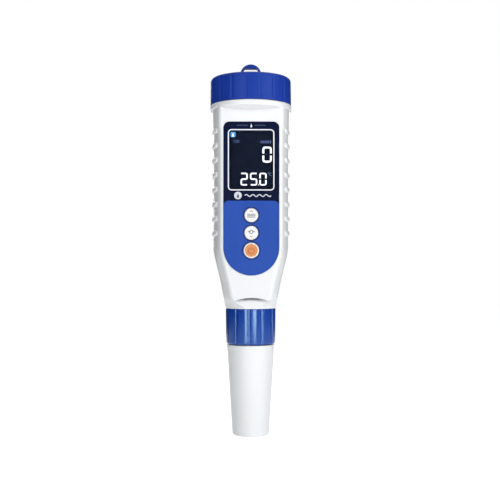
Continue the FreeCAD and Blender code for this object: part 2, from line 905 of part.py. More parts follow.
def disc_screw():
    """Shouldered screw that hangs the contact disc from the roof of the cap."""
    head_top = disc_bottom - running_gap
    head = cylinder(disc_screw_head_radius, head_top - disc_screw_head_height, head_top)
    shank = cylinder(disc_screw_radius, head_top, cap_ceiling + disc_screw_bite)
    return head.fuse(shank)


def cap_lug():
    """Arched eye for a lanyard, flared where it meets the top of the cap."""
    centre_z = cap_top + lug_height - lug_radius
    base_z = cap_top - lug_edge
    base = lug_radius + lug_flare
    front = -lug_thickness / 2

    def at(x, z):
        return Vector(x, front, z)

    leg = centre_z - cap_top
    sweep = (lug_flare**2 + leg**2) / (2 * lug_flare)
    turn = math.asin(leg / sweep) / 2
    waist = lug_radius + sweep - sweep * math.cos(turn)
    waist_z = centre_z - sweep * math.sin(turn)
    edges = [
        Part.Arc(at(-lug_radius, centre_z), at(0, cap_top + lug_height), at(lug_radius, centre_z)).toShape(),
        Part.Arc(at(lug_radius, centre_z), at(waist, waist_z), at(base, cap_top)).toShape(),
        Part.LineSegment(at(base, cap_top), at(base, base_z)).toShape(),
        Part.LineSegment(at(base, base_z), at(-base, base_z)).toShape(),
        Part.LineSegment(at(-base, base_z), at(-base, cap_top)).toShape(),
        Part.Arc(at(-base, cap_top), at(-waist, waist_z), at(-lug_radius, centre_z)).toShape(),
    ]
    lug = Part.Face(Part.Wire(edges)).extrude(Vector(0, lug_thickness, 0))
    outline = [e for e in lug.Edges if e.CenterOfMass.z > cap_top and len(e.Vertexes) == 2]
    rounded = [e for e in outline if abs(e.tangentAt(e.FirstParameter).y) < 0.5]
    lug = lug.makeFillet(lug_edge, rounded)
    slot_top = cap_top + lug_height - lug_band
    slot_bottom = slot_top - lug_slot_height
    depth = lug_thickness / 2 + cutter_overshoot
    slot = rounded_plate(lug_slot_half_width, slot_bottom, slot_top, lug_slot_corner, -depth, depth)
    return lug.cut(slot)


def battery_cap():
    """The screw cap: a drafted cup with grip grooves round it and the lanyard eye on top."""
    top_radius = battery_cap_radius - battery_cap_draft
    cap = turned([(0, cap_bottom), (battery_cap_radius, cap_bottom), (top_radius, cap_top), (0, cap_top)])
    top_edge = [e for e in cap.Edges if len(e.Vertexes) == 1 and abs(e.CenterOfMass.z - cap_top) < 0.001]
    cap = cap.makeFillet(battery_cap_edge, top_edge)
    reach = battery_cap_radius - battery_cap_groove_depth + battery_cap_groove_radius
    low = cap_bottom + battery_cap_plain_rim
    groove = cylinder(battery_cap_groove_radius, low, cap_top + cutter_overshoot, 0, -reach)
    cuts = around(groove, battery_cap_groove_count, battery_cap_groove_turn)
    cuts.append(cylinder(cap_bore, cap_bottom, cap_ceiling))
    cuts.append(cylinder(disc_screw_radius, cap_ceiling, cap_ceiling + disc_screw_bite))
    return cap.cut(cuts).fuse(cap_lug())


def locking_collar():
    """The ring nut that holds the probe, with grip grooves and an inward lip at its foot."""
    foot_radius = collar_radius - collar_draft
    collar = turned(
        [(0, collar_bottom), (foot_radius, collar_bottom), (collar_radius, collar_top), (0, collar_top)]
    )
    foot_edge = [
        e for e in collar.Edges if len(e.Vertexes) == 1 and abs(e.CenterOfMass.z - collar_bottom) < 0.001
    ]
    collar = collar.makeFillet(collar_edge, foot_edge)
    reach = collar_radius - collar_groove_depth + collar_groove_radius
    low = collar_bottom - cutter_overshoot
    groove = cylinder(collar_groove_radius, low, collar_top + cutter_overshoot, 0, -reach)
    cuts = around(groove, collar_groove_count, collar_groove_turn)
    cuts.append(cylinder(bottom_neck_radius + thread_clearance, lip_top, collar_top))
    cuts.append(cylinder(probe_waist_radius + lip_gap, collar_bottom, lip_top))
    return collar.cut(cuts)


def pin_places():
    places = []
    for i in range(contact_pin_count):
        turn = 2 * math.pi * (i + 0.5) / contact_pin_count
        places.append((contact_pin_circle * math.cos(turn), contact_pin_circle * math.sin(turn)))
    return places


def electrode_places():
    return [(-electrode_spacing / 2, 0), (electrode_spacing / 2, 0)]


def probe_body():
    """The probe's one-piece moulding: spigot, flange, barrel and tube, down to the guard's seat."""
    guard_fit = guard_bore - guard_fit_gap
    body = turned(
        [
            (0, guard_spigot_end),
            (guard_fit, guard_spigot_end),
            (guard_fit, tube_bottom),
            (probe_tube_radius, tube_bottom),
            (probe_tube_radius, tube_top),
            (probe_waist_radius, barrel_bottom),
            (probe_waist_radius, probe_flange_bottom),
            (bottom_neck_radius, probe_flange_bottom),
            (bottom_neck_radius, probe_flange_top),
            (bottom_bore - probe_spigot_gap, probe_flange_top),
            (bottom_bore - probe_spigot_gap, spigot_top),
            (0, spigot_top),
        ]
    )
    seal_z = probe_flange_top + probe_seal_above_flange
    seal_top = seal_z + probe_seal_height + groove_slack
    cuts = [tube(bottom_bore + cutter_overshoot, probe_seal_bore, seal_z, seal_top)]
    pin_root = spigot_top - contact_pin_root
    cuts += [cylinder(contact_pin_radius, pin_root, spigot_top, x, y) for x, y in pin_places()]
    root_top = guard_spigot_end + electrode_root
    cuts += [cylinder(electrode_radius, guard_spigot_end, root_top, x, y) for x, y in electrode_places()]
    cuts.append(cylinder(thermistor_radius, guard_spigot_end, root_top, 0, thermistor_offset))
    return body.cut(cuts)


def probe_seal():
    """Square-section rubber ring round the spigot."""
    seal_z = probe_flange_top + probe_seal_above_flange
    return tube(bottom_bore - seal_gap, probe_seal_bore, seal_z, seal_z + probe_seal_height)


def contact_pins():
    bottom = spigot_top - contact_pin_root
    top = spigot_top + contact_pin_length
    return Part.makeCompound([cylinder(contact_pin_radius, bottom, top, x, y) for x, y in pin_places()])


def electrodes():
    """Two round rods that measure the water between them."""
    top = guard_spigot_end + electrode_root
    rods = [cylinder(electrode_radius, top - electrode_length, top, x, y) for x, y in electrode_places()]
    return Part.makeCompound(rods)


def temperature_sensor():
    """A steel-sheathed sensor beside the rods, with a round tip."""
    top = guard_spigot_end + electrode_root
    tip_z = top - thermistor_length + thermistor_radius
    sheath = cylinder(thermistor_radius, tip_z, top, 0, thermistor_offset)
    tip = Part.makeSphere(thermistor_radius, Vector(0, thermistor_offset, tip_z))
    return sheath.fuse(tip).removeSplitter()


def electrode_guard():
    """Open cage round the rods, with four windows between a head ring and a foot ring."""
    cage = tube(guard_radius, guard_bore, guard_bottom, tube_bottom)
    low = guard_bottom + guard_foot_ring
    high = guard_spigot_end - guard_head_ring
    reach = guard_radius + cutter_overshoot
    half = guard_slot_width / 2
    slot = Part.makeBox(guard_slot_width, 2 * reach, high - low, Vector(-half, -reach, low))
    return cage.cut(around(slot, 4)[:2])


def sleeve_radius_at(z):
    """Outside radius of the protective sleeve, which narrows towards its foot."""
    return sleeve_foot_radius + (sleeve_top_radius - sleeve_foot_radius) * z / sleeve_length


def sleeve_bore_at(z):
    return sleeve_radius_at(z) - sleeve_wall


def sleeve_carrier():
    """Tapered bush on the probe's barrel that the protective sleeve pushes over."""
    low = barrel_bottom
    high = sleeve_top - carrier_below_sleeve_top
    low_radius = sleeve_bore_at(low) - sleeve_fit_gap
    high_radius = sleeve_bore_at(high) - sleeve_fit_gap
    bush = turned(
        [(probe_waist_radius, low), (low_radius, low), (high_radius, high), (probe_waist_radius, high)]
    )
    seal_z = sleeve_top - sleeve_seal_below_top
    inner = sleeve_bore_at(seal_z) - seal_gap - sleeve_seal_width
    return bush.cut(tube(sleeve_top_radius, inner, seal_z, seal_z + sleeve_seal_height + groove_slack))


def sleeve_seal():
    """Square-section rubber ring that grips the inside of the protective sleeve."""
    seal_z = sleeve_top - sleeve_seal_below_top
    outer = sleeve_bore_at(seal_z) - seal_gap
    return tube(outer, outer - sleeve_seal_width, seal_z, seal_z + sleeve_seal_height)


def protective_sleeve():
    """Tapered cup that covers the probe and that the whole pen stands on."""
    cup = turned(
        [(0, 0), (sleeve_radius_at(0), 0), (sleeve_radius_at(sleeve_top), sleeve_top), (0, sleeve_top)]
    )
    foot_edge = [e for e in cup.Edges if len(e.Vertexes) == 1 and abs(e.CenterOfMass.z) < 0.001]
    cup = cup.makeFillet(sleeve_foot_edge, foot_edge)
    inside = turned(
        [
            (0, sleeve_floor),
            (sleeve_bore_at(sleeve_floor), sleeve_floor),
            (sleeve_bore_at(sleeve_top), sleeve_top),
            (0, sleeve_top),
        ]
    )
    return cup.cut(inside)


nodes = {
    "housing": housing,
    "cap_seal": cap_seal,
    "front_panel": front_panel,
    "keypad_overlay": keypad_overlay,
    "display_lens": display_lens,
    "lcd_glass": lcd_glass,
    "lcd_backlight": lcd_backlight,
    "lcd_contact_strip": lcd_contact_strip,
    "main_board": main_board,
    "board_screws": board_screws,
    "tact_switches": tact_switches,
    "controller_chip": controller_chip,
    "battery_holder": battery_holder,
    "battery_cells": battery_cells,
    "base_contacts": base_contacts,
    "battery_terminals": battery_terminals,
    "probe_socket": probe_socket,
    "probe_flex": probe_flex,
    "contact_disc": contact_disc,
    "contact_springs": contact_springs,
    "battery_cap": battery_cap,
    "disc_screw": disc_screw,
    "mode_button": lambda: button(0),
    "cal_button": lambda: button(1),
    "power_button": power_button,
    "power_lens": power_lens,
    "probe_body": probe_body,
    "probe_seal": probe_seal,
    "contact_pins": contact_pins,
    "electrodes": electrodes,
    "temperature_sensor": temperature_sensor,
    "electrode_guard": electrode_guard,
    "sleeve_carrier": sleeve_carrier,
    "sleeve_seal": sleeve_seal,
    "locking_collar": locking_collar,
    "protective_sleeve": protective_sleeve,
}

os.makedirs("parts", exist_ok=True)
for name, make in nodes.items():
    shape = make()
    if not shape.isValid():
        print("not valid:", name)
    shape.exportStep("parts/" + name + ".step")
    print(name, len(shape.Solids), round(shape.Volume, 2))
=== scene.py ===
import math
import bmesh
import bpy
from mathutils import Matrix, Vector


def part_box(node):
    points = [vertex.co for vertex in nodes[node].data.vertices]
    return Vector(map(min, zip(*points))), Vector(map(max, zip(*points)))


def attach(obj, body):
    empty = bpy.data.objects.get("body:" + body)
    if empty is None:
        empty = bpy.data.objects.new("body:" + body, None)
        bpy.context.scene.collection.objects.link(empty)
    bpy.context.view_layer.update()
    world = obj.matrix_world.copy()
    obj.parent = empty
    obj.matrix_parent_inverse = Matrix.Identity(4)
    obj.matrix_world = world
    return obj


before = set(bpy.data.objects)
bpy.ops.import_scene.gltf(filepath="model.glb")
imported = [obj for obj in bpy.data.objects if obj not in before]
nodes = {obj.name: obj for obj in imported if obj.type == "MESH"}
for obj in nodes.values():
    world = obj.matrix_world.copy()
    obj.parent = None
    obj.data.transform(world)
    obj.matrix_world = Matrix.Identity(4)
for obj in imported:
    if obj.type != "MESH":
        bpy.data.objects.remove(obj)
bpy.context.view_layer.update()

# A handheld water tester standing on its sleeve, in metres, with its display facing -Y.
mm = 0.001
print("frame loaded:", len(nodes), "nodes")


def link(tree, source, target):
    tree.links.new(source, target)


def addNode(tree, kind, **settings):
    node = tree.nodes.new(kind)
    for key, value in settings.items():
        setattr(node, key, value)
    return node


def feed(tree, value, socket):
    # an output is linked to the socket, a plain value is set on it
    if isinstance(value, bpy.types.NodeSocket):
        link(tree, value, socket)
    else:
        socket.default_value = value


def setSockets(node, values):
    for title, value in values.items():
        node.inputs[title].default_value = value


def maths(tree, operation, first, second=None, clamp=False):
    node = addNode(tree, "ShaderNodeMath", operation=operation, use_clamp=clamp)
    feed(tree, first, node.inputs[0])
    if second is not None:
        feed(tree, second, node.inputs[1])
    return node.outputs[0]


def mixColour(tree, factor, first, second):
    # a Mix node's colours are its inputs 6 and 7 and its output 2
    node = addNode(tree, "ShaderNodeMix", data_type="RGBA")
    for value, socket in ((factor, node.inputs[0]), (first, node.inputs[6]), (second, node.inputs[7])):
        feed(tree, (*value, 1.0) if isinstance(value, tuple) else value, socket)
    return node.outputs[2]


def grey(tone):
    return (tone, tone, tone, 1)


def emptyMaterial(name):
    material = bpy.data.materials.new(name)
    material.use_nodes = True
    material.node_tree.nodes.clear()
    return material, material.node_tree


def showObject(name, data):
    obj = bpy.data.objects.new(name, data)
    bpy.context.scene.collection.objects.link(obj)
    return obj


def finishedMesh(name, mesh, body, material=None):
    obj = showObject(name, mesh)
    if material is not None:
        obj.data.materials.clear()
        obj.data.materials.append(material)
    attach(obj, body)
    return obj


cameraView = {
    "turn": 1.15, "aim": (-0.35 * mm, 0, 84 * mm), "distance": 445 * mm, "lens": 64.1, "sensor": 36,
    "shiftY": 0.032, "clip": (0.01, 50),
}


def setCamera():
    view = cameraView
    data = bpy.data.cameras.new("camera")
    data.lens = view["lens"]
    data.sensor_width = view["sensor"]
    data.shift_y = view["shiftY"]
    data.clip_start, data.clip_end = view["clip"]
    camera = showObject("camera", data)
    turned = math.radians(view["turn"])  # seen from a little to the left
    back = Vector((math.sin(turned), math.cos(turned), 0))
    camera.location = Vector(view["aim"]) - view["distance"] * back
    camera.rotation_euler = (math.pi / 2, 0, -turned)
    bpy.context.scene.camera = camera
    bpy.context.scene.view_settings.view_transform = "Standard"


# name: (place, aim, width, height, watts)
lamps = {
    "key": ((0.82, -0.66, 0.33), (0, 0, 0.09), 0.50, 0.75, 3.9),
    "leftStrip": ((-0.43, -0.95, 0.22), (0, 0, 0.09), 0.14, 0.60, 2.75),
    "rightStrip": ((0.33, -0.98, 0.22), (0, 0, 0.09), 0.06, 0.60, 0.95),
    "lowLeft": ((-0.16, -0.52, 0.032), (0, 0, 0.04), 0.05, 0.06, 0.09),
    "lowCentre": ((0.16, -0.53, 0.032), (0, 0, 0.04), 0.16, 0.06, 0.29),
    "lowRight": ((0.47, -0.29, 0.032), (0, 0, 0.04), 0.05, 0.06, 0.13),
    "topSheet": ((0.15, -0.10, 1.05), (0, 0, 0), 0.9, 0.9, 3.0),
    "bounceCard": ((0, -0.18, 0.004), (0, -0.12, 0.20), 0.24, 0.08, 0.08),
    "flangeCard": ((0, -0.16, 0.02), (0, -0.015, 0.163), 0.10, 0.03, 0.0022),
    "backFill": ((-0.10, 1.05, 0.40), (0, 0, 0.09), 0.60, 0.60, 4.0),
}
lampSpread = {"flangeCard": 24}  # degrees; the other lamps spread freely


def hangLamps():
    for name, (place, aim, width, height, watts) in lamps.items():
        data = bpy.data.lights.new(name, "AREA")
        data.shape = "RECTANGLE"
        data.size = width
        data.size_y = height
        data.energy = watts
        data.spread = math.radians(lampSpread.get(name, 180))
        lamp = showObject(name, data)
        lamp.visible_camera = False
        lamp.location = place
        lamp.rotation_euler = (Vector(aim) - Vector(place)).to_track_quat("-Z", "Y").to_euler()


surroundings = {
    "light": 0.13, "shown": 1.0, "floorTone": 0.86, "floorLift": 0.90, "floorReach": 4.0,
    "floorLevel": -62 * mm,  # below the pulled-off sleeve
}


def seenDirectly(tree):
    path = addNode(tree, "ShaderNodeLightPath")
    seen = maths(tree, "MAXIMUM", path.outputs["Is Camera Ray"], path.outputs["Is Glossy Ray"])
    return maths(tree, "MAXIMUM", seen, path.outputs["Is Transmission Ray"], clamp=True)


def setWorld():
    # dim as a light, plain white where it is seen
    world = bpy.data.worlds.new("studio")
    world.use_nodes = True
    bpy.context.scene.world = world
    tree = world.node_tree
    tree.nodes.clear()
    lit = addNode(tree, "ShaderNodeBackground")
    setSockets(lit, {"Color": grey(1), "Strength": surroundings["light"]})
    shown = addNode(tree, "ShaderNodeBackground")
    setSockets(shown, {"Color": grey(1), "Strength": surroundings["shown"]})
    mix = addNode(tree, "ShaderNodeMixShader")
    out = addNode(tree, "ShaderNodeOutputWorld")
    link(tree, seenDirectly(tree), mix.inputs[0])
    link(tree, lit.outputs[0], mix.inputs[1])
    link(tree, shown.outputs[0], mix.inputs[2])
    link(tree, mix.outputs[0], out.inputs[0])


def stagePiece(name, verts, faces, material):
    mesh = bpy.data.meshes.new(name)
    mesh.from_pydata(verts, [], faces)
    mesh.materials.append(material)
    piece = showObject(name, mesh)
    return piece


def layFloor():
    # it takes shadows, and is lifted to white where it is seen
    look = surroundings
    material, tree = emptyMaterial("paperFloor")
    paper = addNode(tree, "ShaderNodeBsdfDiffuse")
    setSockets(paper, {"Color": grey(look["floorTone"])})
    lift = addNode(tree, "ShaderNodeEmission")
    link(tree, maths(tree, "MULTIPLY", seenDirectly(tree), look["floorLift"]), lift.inputs["Strength"])
    both = addNode(tree, "ShaderNodeAddShader")
    out = addNode(tree, "ShaderNodeOutputMaterial")
    link(tree, paper.outputs[0], both.inputs[0])
    link(tree, lift.outputs[0], both.inputs[1])
    link(tree, both.outputs[0], out.inputs[0])
    far = look["floorReach"]
    corners = [(x, y, look["floorLevel"]) for x, y in ((-far, -far), (far, -far), (far, far), (-far, far))]
    stagePiece("floor", corners, [(0, 1, 2, 3)], material)


# a dark curtain all round, which only reflections see; "from" and "to" are its ends in degrees
curtainLook = {
    "radius": 1.35, "from": 10, "to": 370, "panels": 48, "low": -0.06, "high": 1.5, "tone": 0.012,
}


def hangCurtain():
    look = curtainLook
    material, tree = emptyMaterial("curtainCloth")
    weave = addNode(tree, "ShaderNodeBsdfDiffuse")
    setSockets(weave, {"Color": grey(look["tone"])})
    out = addNode(tree, "ShaderNodeOutputMaterial")
    link(tree, weave.outputs[0], out.inputs[0])
    rim = []
    for i in range(look["panels"] + 1):
        turn = math.radians(look["from"] + (look["to"] - look["from"]) * i / look["panels"])
        rim.append((look["radius"] * math.cos(turn), look["radius"] * math.sin(turn)))
    verts = [(x, y, look[end]) for end in ("low", "high") for x, y in rim]
    count = len(rim)
    faces = [(i, i + 1, count + i + 1, count + i) for i in range(count - 1)]
    curtain = stagePiece("curtain", verts, faces, material)
    for ray in ("camera", "diffuse", "transmission", "shadow", "volume_scatter"):
        setattr(curtain, "visible_" + ray, False)


setCamera()
hangLamps()
setWorld()
layFloor()
hangCurtain()
print("camera, lights and floor set")


def objectPlace(tree):
    return addNode(tree, "ShaderNodeTexCoord").outputs["Object"]


def splitPlace(tree):
    split = addNode(tree, "ShaderNodeSeparateXYZ")
    link(tree, objectPlace(tree), split.inputs[0])
    return split.outputs


def mappedPlace(tree, values):
    node = addNode(tree, "ShaderNodeMapping")
    setSockets(node, values)
    link(tree, objectPlace(tree), node.inputs["Vector"])
    return node.outputs[0]


def addNoise(tree, place, scale, detail=2.0, distortion=0.0):
    noise = addNode(tree, "ShaderNodeTexNoise")
    setSockets(noise, {"Detail": detail, "Distortion": distortion})
    link(tree, place, noise.inputs["Vector"])
    feed(tree, scale, noise.inputs["Scale"])
    return noise.outputs[0]


def newGroup(name, inputs, outputs):
    group = bpy.data.node_groups.new(name, "ShaderNodeTree")
    for title, value in inputs.items():
        socket = group.interface.new_socket(title, in_out="INPUT", socket_type="NodeSocketFloat")
        socket.default_value = value
    for title, kind in outputs.items():
        group.interface.new_socket(title, in_out="OUTPUT", socket_type=kind)
    return group, group.nodes.new("NodeGroupInput"), group.nodes.new("NodeGroupOutput")


skinShape = {
    "grainDetail": 3.0, "pits": 0.5, "flowStretch": (1.0, 1.0, 0.25), "flowDetail": 4.0, "swirl": 0.6,
}


def buildMouldedSkin():
    # Height is the fine grain of a mould, Flow the slow change that plastic takes as it fills it
    group, given, out = newGroup(
        "mouldedSkin", {"Grain Scale": 2600.0, "Flow Scale": 70.0},
        {"Height": "NodeSocketFloat", "Flow": "NodeSocketFloat"},
    )
    shape = skinShape
    place = objectPlace(group)
    fine = addNoise(group, place, given.outputs["Grain Scale"], shape["grainDetail"])
    pits = addNode(group, "ShaderNodeTexVoronoi")
    link(group, place, pits.inputs["Vector"])
    link(group, given.outputs["Grain Scale"], pits.inputs["Scale"])
    height = maths(group, "ADD", fine, maths(group, "MULTIPLY", pits.outputs["Distance"], shape["pits"]))
    stretched = mappedPlace(group, {"Scale": shape["flowStretch"]})
    flow = addNoise(group, stretched, given.outputs["Flow Scale"], shape["flowDetail"], shape["swirl"])
    link(group, height, out.inputs["Height"])
    link(group, flow, out.inputs["Flow"])
    return group


edgeShape = {"samples": 6, "gain": 4.0, "breakScale": 420.0}


def buildSoftEdge():
    # Normal rounds a sharp edge, Edge is where it is rubbed
    group, given, out = newGroup(
        "softEdge", {"Radius": 0.2 * mm, "Wear": 1.0},
        {"Normal": "NodeSocketVector", "Edge": "NodeSocketFloat"},
    )
    shape = edgeShape
    rounded = addNode(group, "ShaderNodeBevel", samples=shape["samples"])
    link(group, given.outputs["Radius"], rounded.inputs["Radius"])
    geometry = addNode(group, "ShaderNodeNewGeometry")
    meet = addNode(group, "ShaderNodeVectorMath", operation="DOT_PRODUCT")
    link(group, rounded.outputs[0], meet.inputs[0])
    link(group, geometry.outputs["Normal"], meet.inputs[1])
    away = maths(group, "SUBTRACT", 1.0, meet.outputs["Value"])
    broken = addNoise(group, objectPlace(group), shape["breakScale"])
    worn = maths(group, "MULTIPLY", maths(group, "MULTIPLY", away, shape["gain"]), broken)
    link(group, maths(group, "MULTIPLY", worn, given.outputs["Wear"], clamp=True), out.inputs["Edge"])
    link(group, rounded.outputs[0], out.inputs["Normal"])
    return group


dustShape = {"samples": 6, "patchScale": 260.0, "patchDetail": 4.0, "everywhere": 0.2}


# dust and painted shade: the colour goes darker in hollows by ambient occlusion, broken into patches
def buildGrooveDustAndShade():
    group, given, out = newGroup(
        "grooveDustAndShade", {"Reach": 1.2 * mm, "Amount": 1.0}, {"DustAndShade": "NodeSocketFloat"}
    )
    shape = dustShape
    hollow = addNode(group, "ShaderNodeAmbientOcclusion", samples=shape["samples"], only_local=True)
    link(group, given.outputs["Reach"], hollow.inputs["Distance"])
    patchy = addNoise(group, objectPlace(group), shape["patchScale"], shape["patchDetail"])
    deep = maths(group, "SUBTRACT", 1.0, hollow.outputs["AO"])
    dust = maths(group, "MULTIPLY", deep, maths(group, "ADD", patchy, shape["everywhere"]))
    link(group, maths(group, "MULTIPLY", dust, given.outputs["Amount"], clamp=True), out.inputs["DustAndShade"])
    return group


mouldedSkin = buildMouldedSkin()
softEdge = buildSoftEdge()
grooveDustAndShade = buildGrooveDustAndShade()


def placeGroup(tree, group, values):
    node = addNode(tree, "ShaderNodeGroup", node_tree=group)
    setSockets(node, values)
    return node.outputs


def placeSkin(tree, look):
    scales = {"Grain Scale": look["grainScale"], "Flow Scale": look["flowScale"]}
    return placeGroup(tree, mouldedSkin, scales)


def placeEdge(tree, look):
    return placeGroup(tree, softEdge, {"Radius": look["edgeRadius"], "Wear": look["wear"]})


def placeDustAndShade(tree, look):
    return placeGroup(tree, grooveDustAndShade, {"Reach": look["dustReach"], "Amount": look["dust"]})["DustAndShade"]


def startMaterial(name):
    material, tree = emptyMaterial(name)
    shader = addNode(tree, "ShaderNodeBsdfPrincipled")
    out = addNode(tree, "ShaderNodeOutputMaterial")
    link(tree, shader.outputs[0], out.inputs[0])
    return material, tree, shader


def setRange(tree, value, low, high, fromLow=0.3, fromHigh=0.7):
    # a noise lies mostly between 0.3 and 0.7
    node = addNode(tree, "ShaderNodeMapRange")
    for socket, number in zip(node.inputs[1:5], (fromLow, fromHigh, low, high)):
        socket.default_value = number
    link(tree, value, node.inputs[0])
    return node.outputs[0]


def addBump(tree, shader, height, look, normal=None):
    bump = addNode(tree, "ShaderNodeBump")
    setSockets(bump, {"Strength": look["grain"], "Distance": look["grainDepth"]})
    link(tree, height, bump.inputs["Height"])
    if normal is not None:
        link(tree, normal, bump.inputs["Normal"])
    link(tree, bump.outputs[0], shader.inputs["Normal"])


def ringMask(tree, height, low, high):
    above = maths(tree, "GREATER_THAN", height, low)
    below = maths(tree, "LESS_THAN", height, high)
    return maths(tree, "MULTIPLY", above, below)


def seamGrime(tree, seam):
    # painted shade under the ledge: occlusion darkening in the band between two heights, which fades to
    # both sides
    place = splitPlace(tree)
    aoShade = placeDustAndShade(tree, seam)
    inside = ringMask(tree, place["Z"], seam["low"], seam["high"])
    aside = maths(tree, "ABSOLUTE", place["X"])
    middle = setRange(tree, aside, 1, 0, fromLow=seam["fadeFrom"], fromHigh=seam["fadeTo"])
    return maths(tree, "MULTIPLY", aoShade, maths(tree, "MULTIPLY", inside, middle), clamp=True)


# the dust entries give dust and painted shade together: the colour darkens in hollows by occlusion
plasticLook = {
    "colour": (0.80, 0.82, 0.84), "flowColour": (0.82, 0.835, 0.855), "edgeColour": (0.88, 0.89, 0.90),
    "dustColour": (0.34, 0.35, 0.37), "rough": (0.27, 0.36), "dustRough": 0.2,
    "grain": 0.10, "grainDepth": 0.03 * mm, "grainScale": 2400.0, "flowScale": 60.0,
    "edgeRadius": 0.25 * mm, "wear": 0.5, "dustReach": 2.6 * mm, "dust": 0.9,
    "specular": 0.35, "sheen": (1.0, 1.0, 1.0), "subsurface": 0.0, "seam": None,
}
subsurfaceLook = {"Subsurface Radius": (1.0, 0.9, 0.85), "Subsurface Scale": 1.2 * mm}


def mouldedPlastic(name, **changes):
    look = {**plasticLook, **changes}
    material, tree, shader = startMaterial(name)
    skin = placeSkin(tree, look)
    edge = placeEdge(tree, look)
    dust = placeDustAndShade(tree, look)
    colour = mixColour(tree, setRange(tree, skin["Flow"], 0, 1), look["colour"], look["flowColour"])
    colour = mixColour(tree, edge["Edge"], colour, look["edgeColour"])
    colour = mixColour(tree, dust, colour, look["dustColour"])
    # the ledge's painted shade, where a look has one
    if look["seam"]:
        colour = mixColour(tree, seamGrime(tree, look["seam"]), colour, look["seam"]["colour"])
    link(tree, colour, shader.inputs["Base Color"])
    rough = setRange(tree, skin["Flow"], *look["rough"])
    rough = maths(tree, "ADD", rough, maths(tree, "MULTIPLY", dust, look["dustRough"]), clamp=True)
    link(tree, rough, shader.inputs["Roughness"])
    addBump(tree, shader, skin["Height"], look, edge["Normal"])
    setSockets(shader, {"Specular IOR Level": look["specular"], "Specular Tint": (*look["sheen"], 1.0)})
    if look["subsurface"]:
        setSockets(shader, {"Subsurface Weight": look["subsurface"], **subsurfaceLook})
    return material


# painted shade: a near-black band under the front ledge, from occlusion within two heights, fading
# sideways
ledgeShadeLook = {
    "low": 62 * mm, "high": 70 * mm, "dustReach": 1.8 * mm, "dust": 5.2, "fadeFrom": 3.0 * mm,
    "fadeTo": 8.5 * mm, "colour": (0.06, 0.063, 0.07),
}
whiteShell = mouldedPlastic("whiteShell", seam=ledgeShadeLook)
sleeveShell = mouldedPlastic(
    "sleeveShell", colour=(0.81, 0.83, 0.845), flowColour=(0.83, 0.845, 0.86), rough=(0.30, 0.40),
    dust=0.15, subsurface=0.25,
)
capBlue = mouldedPlastic(
    "capBlue", colour=(0.008, 0.038, 0.31), flowColour=(0.010, 0.043, 0.34),
    edgeColour=(0.04, 0.11, 0.50), dustColour=(0.02, 0.035, 0.13), rough=(0.38, 0.47), grain=0.14,
    specular=0.22, dust=0.3, sheen=(0.70, 0.90, 1.0),
)
panelNavy = mouldedPlastic(
    "panelNavy", colour=(0.0035, 0.0070, 0.031), flowColour=(0.0045, 0.0085, 0.035),
    edgeColour=(0.03, 0.04, 0.10), dustColour=(0.02, 0.02, 0.03), rough=(0.22, 0.30), grain=0.05,
    specular=0.12, dust=0.1,
)
collarBlue = mouldedPlastic(
    "collarBlue", colour=(0.006, 0.046, 0.31), flowColour=(0.008, 0.051, 0.34),
    edgeColour=(0.04, 0.11, 0.50), dustColour=(0.02, 0.035, 0.13), rough=(0.10, 0.14), grain=0.05,
    specular=0.58, dust=0.3, sheen=(0.58, 0.88, 1.0),
)
keypadBlue = mouldedPlastic(
    "keypadBlue", colour=(0.017, 0.072, 0.38), flowColour=(0.020, 0.078, 0.41),
    edgeColour=(0.06, 0.14, 0.55), dustColour=(0.02, 0.04, 0.16), rough=(0.38, 0.48), grain=0.2,
    grainScale=3200.0, specular=0.16, dust=0.15,
)
buttonWhite = mouldedPlastic(
    "buttonWhite", colour=(0.83, 0.845, 0.86), flowColour=(0.85, 0.86, 0.87), edgeColour=(0.9, 0.9, 0.9),
    rough=(0.30, 0.38), dust=0.2, grain=0.06,
)
lensOrange = mouldedPlastic(
    "lensOrange", colour=(0.68, 0.28, 0.11), flowColour=(0.74, 0.31, 0.13), edgeColour=(0.80, 0.45, 0.25),
    dustColour=(0.3, 0.15, 0.08), rough=(0.22, 0.3), grain=0.03, specular=0.4, subsurface=0.2, dust=0.1,
)
innerBlack = mouldedPlastic(
    "innerBlack", colour=(0.012, 0.012, 0.013), flowColour=(0.02, 0.02, 0.022),
    edgeColour=(0.06, 0.06, 0.06), dustColour=(0.05, 0.048, 0.045), rough=(0.42, 0.55), grain=0.3,
    specular=0.3,
)
rubberBlack = mouldedPlastic(
    "rubberBlack", colour=(0.010, 0.010, 0.010), flowColour=(0.016, 0.016, 0.016),
    edgeColour=(0.03, 0.03, 0.03), dustColour=(0.06, 0.058, 0.055), rough=(0.55, 0.7), grain=0.4,
    specular=0.3, dust=0.6,
)
probeGrey = mouldedPlastic(
    "probeGrey", colour=(0.30, 0.315, 0.33), flowColour=(0.33, 0.345, 0.36), edgeColour=(0.45, 0.46, 0.47),
    dustColour=(0.16, 0.16, 0.16), rough=(0.34, 0.44), grain=0.2,
)
chipBlack = mouldedPlastic(
    "chipBlack", colour=(0.014, 0.014, 0.015), flowColour=(0.02, 0.02, 0.021),
    edgeColour=(0.07, 0.07, 0.07), rough=(0.5, 0.6), grain=0.5, grainScale=5200.0, specular=0.35,
)
backlightWhite = mouldedPlastic(
    "backlightWhite", colour=(0.62, 0.66, 0.70), flowColour=(0.68, 0.71, 0.74), rough=(0.4, 0.5), dust=0.1,
)
flexAmber = mouldedPlastic(
    "flexAmber", colour=(0.40, 0.17, 0.03), flowColour=(0.46, 0.21, 0.045), edgeColour=(0.6, 0.35, 0.12),
    rough=(0.18, 0.28), grain=0.05, specular=0.5,
)

metalLook = {
    "colour": (0.58, 0.58, 0.57), "lineColour": (0.70, 0.70, 0.69), "dustColour": (0.2, 0.18, 0.15),
    "rough": (0.22, 0.36), "brush": (1, 1, 12), "lineScale": 700.0, "lineDetail": 4.0,
    "edgeRadius": 0.1 * mm, "wear": 1.0, "dustReach": 0.8 * mm, "dust": 0.6, "grain": 0.12,
    "grainDepth": 0.02 * mm,
}


